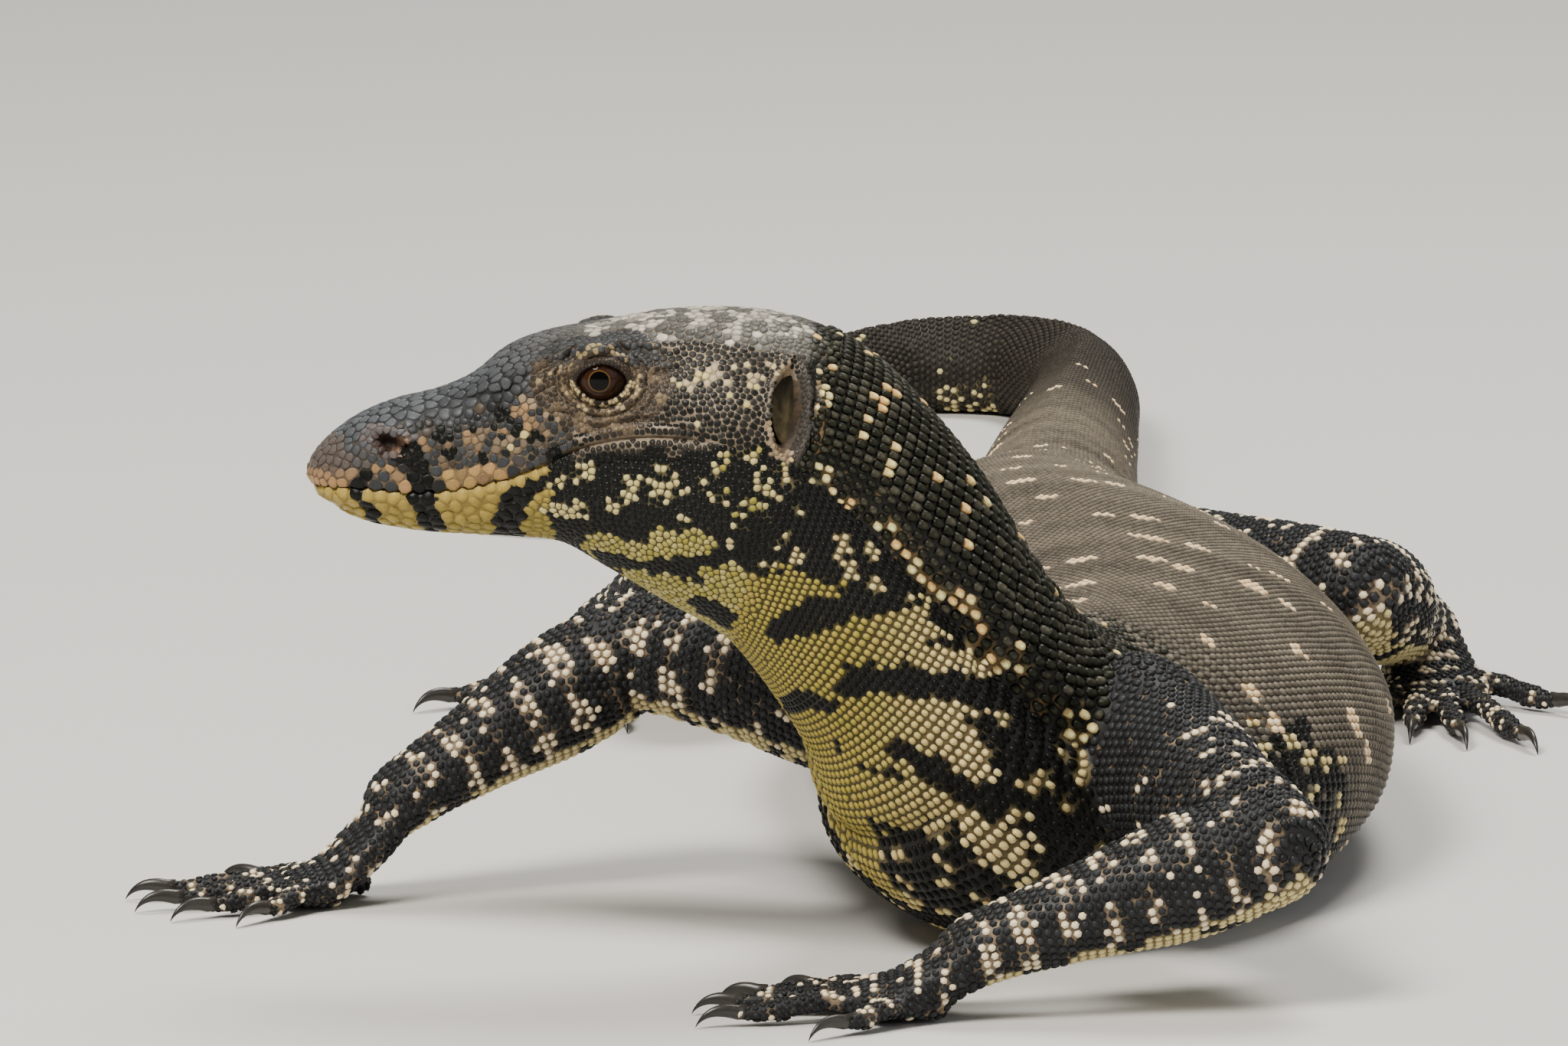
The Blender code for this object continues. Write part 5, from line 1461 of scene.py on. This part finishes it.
def scale_places(tubes, skin, points, params, lookup):
    """Each scale's place, outward direction, width, tube, length, angle, arc and half girth."""
    flat = read_all(skin.loops, "vertex_index", 1, np.int32)
    starts, totals = (read_all(skin.polygons, name, 1, np.int32) for name in ("loop_start", "loop_total"))
    corners = [flat[a:a + n].tolist() for a, n in zip(starts.tolist(), totals.tolist())]
    normals = read_normals(skin)
    head, head_sizes, held = head_scales(points, params)
    warped = BVHTree.FromPolygons(stretch(points).tolist(), corners)
    head = stretch(spread_out(stretch(head), head_sizes, held, warped), back=True)
    rows = scale_rows(tubes)
    sizes = np.concatenate((head_sizes, np.sqrt(rows[:, 8] * rows[:, 9])))
    table = [np.concatenate(pair) for pair in zip(params_at(head, lookup), rows[:, 3:8].T)]
    # set every centre on the skin
    tree = BVHTree.FromPolygons(points.tolist(), corners)
    pts, face, away = nearest_on(tree, np.concatenate((head, rows[:, :3])))
    out = unit(np.array([normals[corners[f]].mean(axis=0) for f in face]))
    bad = (away > 1.3) | (lid_radius(pts) < 1.03) | (oval_radius(pts, EAR) < 1.0)
    bad |= (oval_radius(pts, NOSTRIL) < 1.05) | (pts[:, 2] < 1.0) & (out[:, 2] < -0.7)
    good = thin_out(pts, sizes, bad)
    pts, out, sizes, *table = (column[good] for column in (pts, out, sizes, *table))
    # fill places that no row reached, such as the joins of the limbs
    fill_size = wanted_size(tubes, params)
    tree = search_tree(pts)
    distance = np.array([tree.find(point)[2] for point in points.tolist()])
    bare = (distance > 0.92 * fill_size) & (points[:, 2] > 1.1)
    bare &= (params[0] != 0) | (params[1] >= NAPE + 3.0)
    order = RNG.permutation(np.nonzero(bare)[0])
    added = throw_darts(points, 0.90 * fill_size, ~bare, order, (pts.tolist(), (0.90 * sizes).tolist()))
    return [np.concatenate((column, more[added])) for column, more in
            zip((pts, out, sizes, *table), (points, normals, fill_size, *params))]


def coat_lie(tubes, owner, s, out):
    """The lie of the coat: towards the tail on the body, towards the claws on the limbs."""
    lie = np.empty_like(out)
    for i in np.unique(owner):
        mask = owner == i
        rings = tubes[i]["rings"]
        lie[mask] = unit(rings[-1].mean(axis=0) - rings[0].mean(axis=0)) if i else heading(s[mask], 1.5)
    return unit(lie - out * np.einsum("ij,ij->i", lie, out)[:, None])


def lay_coat(tubes, skin, skin_points, skin_params, lookup):
    """Place every scale and build the coat's pieces."""
    pts, out, sizes, *params = scale_places(tubes, skin, skin_points, skin_params, lookup)
    params[0] = params[0].astype(int)
    owner, s, angle, arc, half = params
    lie = coat_lie(tubes, owner, s, out)
    colour, gap = colours_for(tubes, params, pts)
    line, _ = fold_angle(s)
    body = owner == 0
    head = body & (s < NAPE + 1.0)
    collar = body & ~head & (s < NECK_END)
    nape = collar & (np.abs(angle) < line)
    throat = collar & ~nape
    trunk = body & ~head & ~collar
    mouth, _ = segment_distance(pts[:, 0], pts[:, 2], MOUTH)
    lips = head & (np.abs(mouth) < 4.0) & (pts[:, 0] < -50.0)
    # for lips, head, nape, throat, trunk and limbs: sharpness of outline, width, height, keel and lean
    sharp, wide, high, keeled, leaning = (
        np.select([lips, head, nape, throat, trunk], values[:-1], values[-1]) for values in (
            (11.0, 11.0, 7.0, 4.6, 8.0, 5.5), (1.06, 1.03, 1.0, 0.92, 1.03, 1.0),
            (0.08, 0.24, 0.80, 0.42, 0.42, 0.48), (0.0, 0.0, 0.10, 0.0, 0.22, 0.12),
            (0.0, 0.0, 0.34, 0.06, 0.12, 0.12)))
    edge, turn, across = outline(pts, out, lie, sizes, sharp)
    radius = edge.mean(axis=1)
    high = radius * high
    high = np.minimum(np.where(nape, high * (1 - 0.40 * smooth(GIRDLE - 10, NECK_END, s)), high), 1.0)
    seam = body & (np.abs(np.abs(angle) - line + 0.10) < 0.13) & (s > NAPE + 4.0) & (s < GIRDLE + 2.0)
    edge = edge * np.where(seam, wide * 0.84, wide)[:, None]
    keeled, leaning = radius * keeled, radius * leaning
    # painted highlight: the top point of every scale is drawn lighter than its colour, most of all on the
    # nape's scales
    lit = np.where(nape, 2.3, np.where(head, 1.10, 1.25))

    lower = head & ((mouth < 0.0) | (pts[:, 0] > -12.0) & (pts[:, 2] < 108.0))
    groups = [("head", head & ~lower, FINE_RINGS, "head_skin"), ("jaw", lower, SMALL_RINGS, "jaw_skin"),
              ("nape", nape, FINE_RINGS, "neck_skin"), ("throat", throat, SMALL_RINGS, "neck_skin")]
    begin = NECK_END
    for label, end, slot in (
            ("shoulders", GIRDLE + 100.0, "back_skin"), ("middle", GIRDLE + 190.0, "back_skin"),
            ("loin", GIRDLE + 260.0, "back_skin"), ("pelvis", VENT, "back_skin"),
            ("tail_base", VENT + 230.0, "tail_skin"), ("tail_end", TAIL_TIP + 1, "tail_skin")):
        groups.append((label, trunk & (s >= begin) & (s < end), PLAIN_RINGS, slot))
        begin = end
    for number, label in enumerate(LIMBS):
        groups.append((label, (owner - 1) // LIMB_TUBES == number, PLAIN_RINGS, "limb_skin"))
    head_look = hide_material("scale_head", 0.38, 0.09, 2600.0, 0.00008, shine=0.16)
    body_look = hide_material("scale_body", 0.42, 0.09, 2400.0, 0.00008, shine=0.13)
    pieces = []
    for label, mask, rings, slot in groups:
        used, turns = edge[mask], turn
        if rings is PLAIN_RINGS:
            turns = 2 * math.pi * np.arange(PLAIN_SIDES) / PLAIN_SIDES
            used = np.concatenate((used, used[:, :1]), axis=1)
            at = turns / (2 * math.pi) * FINE_SIDES
            low = at.astype(int)
            used = used[:, low] * (1 - (at - low)) + used[:, np.minimum(low + 1, FINE_SIDES)] * (at - low)
        verts, faces = plates(pts[mask], out[mask], lie[mask], across[mask], used, turns, high[mask],
                              keeled[mask], leaning[mask], rings)
        verts[..., 2] = np.maximum(verts[..., 2], FLOOR_GAP)
        count, per = verts.shape[:2]
        sides = used.shape[1]
        shade = np.ones((per, 1))
        shade[:sides] = 0.0
        shade[sides:2 * sides] = 0.86 if rings is FINE_RINGS else 0.92
        tone = colour[mask][:, None, :] * shade + gap[mask][:, None, :] * (1 - shade)
        # painted highlight on each scale's top point
        tone[:, -1] = colour[mask] * lit[mask][:, None]
        # a patch for each scale at its root's place on the skin's own layout
        root_u = 0.02 + 0.96 * (s[mask] - s[mask].min()) / max(np.ptp(s[mask]), 1.0)
        root_v = 0.02 + 0.96 * (0.5 + 0.5 * arc[mask] / max(half[mask].max(), 1.0))
        if slot == "limb_skin":
            root_v = (owner[mask] % LIMB_TUBES + root_v) / LIMB_TUBES
        uv = np.repeat(np.stack((root_u, root_v), axis=1)[:, None, :], per, axis=1)
        share = used / used.max(axis=1)[:, None] * BAKE_PATCH
        patch = np.stack((share * np.cos(turns), share * np.sin(turns)), axis=2)
        for k, width in enumerate([1.0] + [ring[0] for ring in rings]):
            uv[:, k * sides:(k + 1) * sides] += patch * width
        every = (faces[None] + (np.arange(count) * per)[:, None, None]).reshape(-1, 3)
        look = head_look if label in ("head", "jaw") else body_look
        made = build_mesh(f"coat_{label}", verts.reshape(-1, 3), every, look, tone.reshape(-1, 3),
                          uv.reshape(-1, 2))
        pieces.append((made, slot))
    return pieces


def shell(rings, start=0):
    """Points and triangles of a closed shell over rings of points, with a middle point at each end."""
    n, m = rings.shape[:2]
    index = start + np.arange(n * m).reshape(n, m)
    right = np.roll(index, -1, axis=1)
    ends = [np.full(m, start + n * m + i) for i in (0, 1)]
    faces = [np.stack(corners, axis=-1).reshape(-1, 3) for corners in (
        (index[:-1], right[:-1], right[1:]), (index[:-1], right[1:], index[1:]),
        (ends[0], right[0], index[0]), (ends[1], index[-1], right[-1]))]
    return np.concatenate((rings.reshape(-1, 3), rings[[0, -1]].mean(axis=1))), np.concatenate(faces)


SIDES = (("left", -1), ("right", 1))
PUPIL, PUPIL_RING, IRIS = 2.05, 2.25, 4.4


def make_eyes():
    """Each eye: a ball with a low cornea, a dark brown iris, a thin gold ring and a round pupil."""
    look = hide_material("eye_gloss", 0.06, 0.02, 5200.0, 0.00001, shine=0.14)
    profile = []
    tones = []
    for t in np.concatenate((np.linspace(0.02, 1.0, 60), np.linspace(1.05, 3.1, 26))):
        radius = EYE["radius"] + 0.42 * math.exp(-(t / 0.55) ** 4)
        r = radius * math.sin(t)
        profile.append((r, radius * math.cos(t)))
        tone = np.array((0.016, 0.010, 0.007))
        if t < 1.5 and r < PUPIL:
            tone = np.array((0.001, 0.001, 0.0012))
        elif t < 1.5 and r < PUPIL_RING:
            tone = np.array((0.11, 0.060, 0.018))
        elif t < 1.5 and r < IRIS:
            share = (r - PUPIL_RING) / (IRIS - PUPIL_RING)
            tone = mix((0.030, 0.012, 0.006), (0.020, 0.009, 0.005), [share])[0]
            tone = tone * (1 + 0.18 * math.sin(r * 9.0))
        tones.append(tone)
    turn = around(72)
    made = []
    for label, side in SIDES:
        axis = unit(np.array((-0.03, side, -0.02)))
        left = unit(np.cross(axis, (0.0, 0.0, 1.0)))
        up = np.cross(left, axis)
        centre = np.array(EYE["at"]) * (1, side, 1)
        rings = [centre + axis * height + np.outer(np.cos(turn) * r, left) + np.outer(np.sin(turn) * r, up)
                 for r, height in profile]
        tone = np.concatenate((np.repeat(tones, len(turn), axis=0), tones[:1], tones[-1:]))
        ball = build_mesh(f"eye_{label}_ball", *shell(np.array(rings)), look, tone)
        made.append((ball, f"eye_{label}", "eye"))
    return made


def make_eardrums():
    """A thin dull membrane, slightly dished, deep in each ear."""
    look = hide_material("eardrum", 0.58, 0.10, 1500.0, 0.00020, shine=0.14)
    made = []
    x, y, z = EAR["at"]
    turn = around(64)
    for label, side in SIDES:
        rings = []
        for share, deeper in [(1.0, 1.1)] + [(share, 0.0) for share in np.linspace(1.0, 0.08, 12)]:
            across = 3.1 * share * np.cos(turn)
            upward = 7.3 * share * np.sin(turn)
            dish = 0.9 * (1 - share**2) - 0.5 * bell(across - 0.12 * upward - 0.3, 0.6) * (1 - share)
            inward = 7.7 + 0.30 * across + 0.33 * upward + dish + deeper
            rings.append(np.stack((x + across, side * (y - inward), z + upward), axis=1))
        points, faces = shell(np.array(rings))
        # painted light and shade on the brown membrane: dark at its top and back, lighter on its lower
        # front part, mottled by noise
        lit = smooth(6.0, -3.0, points[:, 2] - z) * smooth(2.6, -1.2, points[:, 0] - x)
        lit = lit * (0.35 + 1.1 * noise(points, 0.9, 103))
        tone = mix((0.016, 0.013, 0.007), (0.105, 0.082, 0.042), lit)
        drum = build_mesh(f"eardrum_{label}_skin", points, faces, look, tone)
        made.append((drum, f"eardrum_{label}", "ear"))
    return made


def make_claws():
    """Curved, tapered claws, one mesh for each hand or foot."""
    look = hide_material("claw_horn", 0.30, 0.06, 900.0, 0.00005, coat=0.35)
    root_tone, tip_tone = np.array((0.030, 0.026, 0.022)), np.array((0.012, 0.010, 0.009))
    angle = around(16)
    made = []
    for name, limb in LIMBS.items():
        plan = HAND if name.startswith("fore") else FOOT
        thick = plan["thick"]
        points, faces, tones = [], [], []
        for number in range(5):
            root, line, side, length = digit_course(limb, plan, number)
            rings = []
            for t in np.concatenate(([-0.18], np.linspace(0.0, 1.0, 16))):
                reach = length + plan["claw"] * math.sin(t * CLAW_TURN) / math.sin(CLAW_TURN)
                centre = root + line * reach
                rise = thick * (0.95 + 0.35 * math.sin(math.pi * max(t, 0.0)))
                centre[2] = rise - (thick * 0.95 - CLAW_REST) * max(t, 0.0) ** 1.6
                girth = thick * (0.46 - 0.42 * max(t, 0.0) ** 1.3)
                wave = np.cos(angle) * girth * 1.25
                ring = centre + np.outer(np.sin(angle) * girth * 0.85, side)
                rings.append(ring + np.outer(np.where(wave < 0, wave * 0.8, wave), UP))
                tones += [root_tone * (1 - t) + tip_tone * t] * len(angle)
            rings = np.array(rings)
            rings[..., 2] = np.maximum(rings[..., 2], FLOOR_GAP)
            shape, corners = shell(rings, sum(len(part) for part in points))
            points.append(shape)
            faces.append(corners)
            tones += [root_tone, tip_tone]
        points, faces = np.concatenate(points), np.concatenate(faces)
        made.append((build_mesh(f"claws_{name}", points, faces, look, np.array(tones)), "limb_skin"))
    return made


def outward(made):
    """Turn a closed mesh's faces outwards."""
    bm = bmesh.new()
    bm.from_mesh(made.data)
    bmesh.ops.recalc_face_normals(bm, faces=bm.faces)
    bm.to_mesh(made.data)
    bm.free()


FLOOR_HALF = 25.0                # half the floor's width, in metres
LIT_PLACE = (0.0, -0.2, 0.05)    # the place that every lamp faces, in metres
CAMERA_AWAY = 3.0                # metres from the camera to the head
SEEN_WIDTH = 2048.0 / 6.45       # millimetres that the photograph is wide at the head
SENSOR = 36.0


def make_stage():
    """A wide pale floor, open on every side, and soft light."""
    mesh = bpy.data.meshes.new("floor")
    corners = [(x * FLOOR_HALF, y * FLOOR_HALF, 0.0) for x, y in ((-1, -1), (1, -1), (1, 1), (-1, 1))]
    mesh.from_pydata(corners, [], [(0, 1, 2, 3)])
    floor = add_object("floor", mesh)
    look = bpy.data.materials.new("pale_floor")
    look.use_nodes = True
    shader = look.node_tree.nodes["Principled BSDF"]
    shader.inputs["Base Color"].default_value = (0.62, 0.61, 0.59, 1.0)
    shader.inputs["Roughness"].default_value = 0.9
    mesh.materials.append(look)
    world = bpy.data.worlds.new("soft_room")
    world.use_nodes = True
    background = world.node_tree.nodes["Background"]
    background.inputs["Color"].default_value = (0.86, 0.86, 0.84, 1.0)
    background.inputs["Strength"].default_value = 0.28
    bpy.context.scene.world = world
    for name, power, size, at, colour in (
            ("key", 58.0, 0.7, (-0.7, -1.2, 1.6), (1.0, 0.95, 0.87)),
            ("fill", 8.0, 1.6, (1.6, -1.3, 0.9), (0.90, 0.95, 1.0)),
            ("top", 42.0, 0.8, (0.4, 0.6, 1.9), (1.0, 0.97, 0.91))):
        lamp = bpy.data.lights.new(name, "AREA")
        lamp.energy = power
        lamp.size = size
        lamp.color = colour
        holder = add_object(name, lamp)
        holder.location = at
        holder.rotation_euler = (Vector(LIT_PLACE) - Vector(at)).to_track_quat("-Z", "Y").to_euler()


def make_camera():
    """The photograph's view: nearly level, square to the side of the head."""
    tilt = math.radians(SEEN_TILT)
    target = Vector(place((0.0, 0.0, AIM)))
    camera = bpy.data.cameras.new("camera")
    camera.sensor_width = SENSOR
    camera.lens = SENSOR * CAMERA_AWAY / MM / SEEN_WIDTH
    camera.clip_end = 30.0
    holder = add_object("camera", camera)
    holder.location = target - Vector((0.0, math.cos(tilt), -math.sin(tilt))) * CAMERA_AWAY
    holder.rotation_euler = (math.pi / 2 - tilt, 0.0, 0.0)
    bpy.context.scene.camera = holder


def main():
    """Build the whole scene."""
    make_camera()
    make_stage()
    tubes = build_tubes()
    skin = make_skin(tubes)
    skin.name = "skin"
    points = read_points(skin)
    lookup = param_lookup(tubes)
    params = params_at(points, lookup)
    scale_tone, gap = colours_for(tubes, params, points)
    colour_attribute(skin, gap * 0.85 + scale_tone * 0.15)
    skin.polygons.foreach_set("use_smooth", np.ones(len(skin.polygons), bool))
    skin.materials.clear()
    skin.materials.append(hide_material("hide", 0.55, 0.08, 1400.0, 0.00015))
    body = add_object("skin", skin)
    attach(body, "root")
    flesh = ["head", "lower_jaw", "neck", "chest", "torso", "hips"] + [f"tail_{i}" for i in range(1, 6)]
    for side in ("left", "right"):
        flesh += [f"{part}_{side}" for part in ("upper_arm", "forearm", "hand", "thigh", "shank", "foot")]
    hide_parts(*flesh)
    for made, slot in lay_coat(tubes, skin, points, params, lookup):
        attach(made, "root")
    for made, node, slot in make_eyes() + make_eardrums():
        outward(made)
        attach(made, "root")
        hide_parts(node)
    for made, slot in make_claws():
        outward(made)
        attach(made, "root")


main()
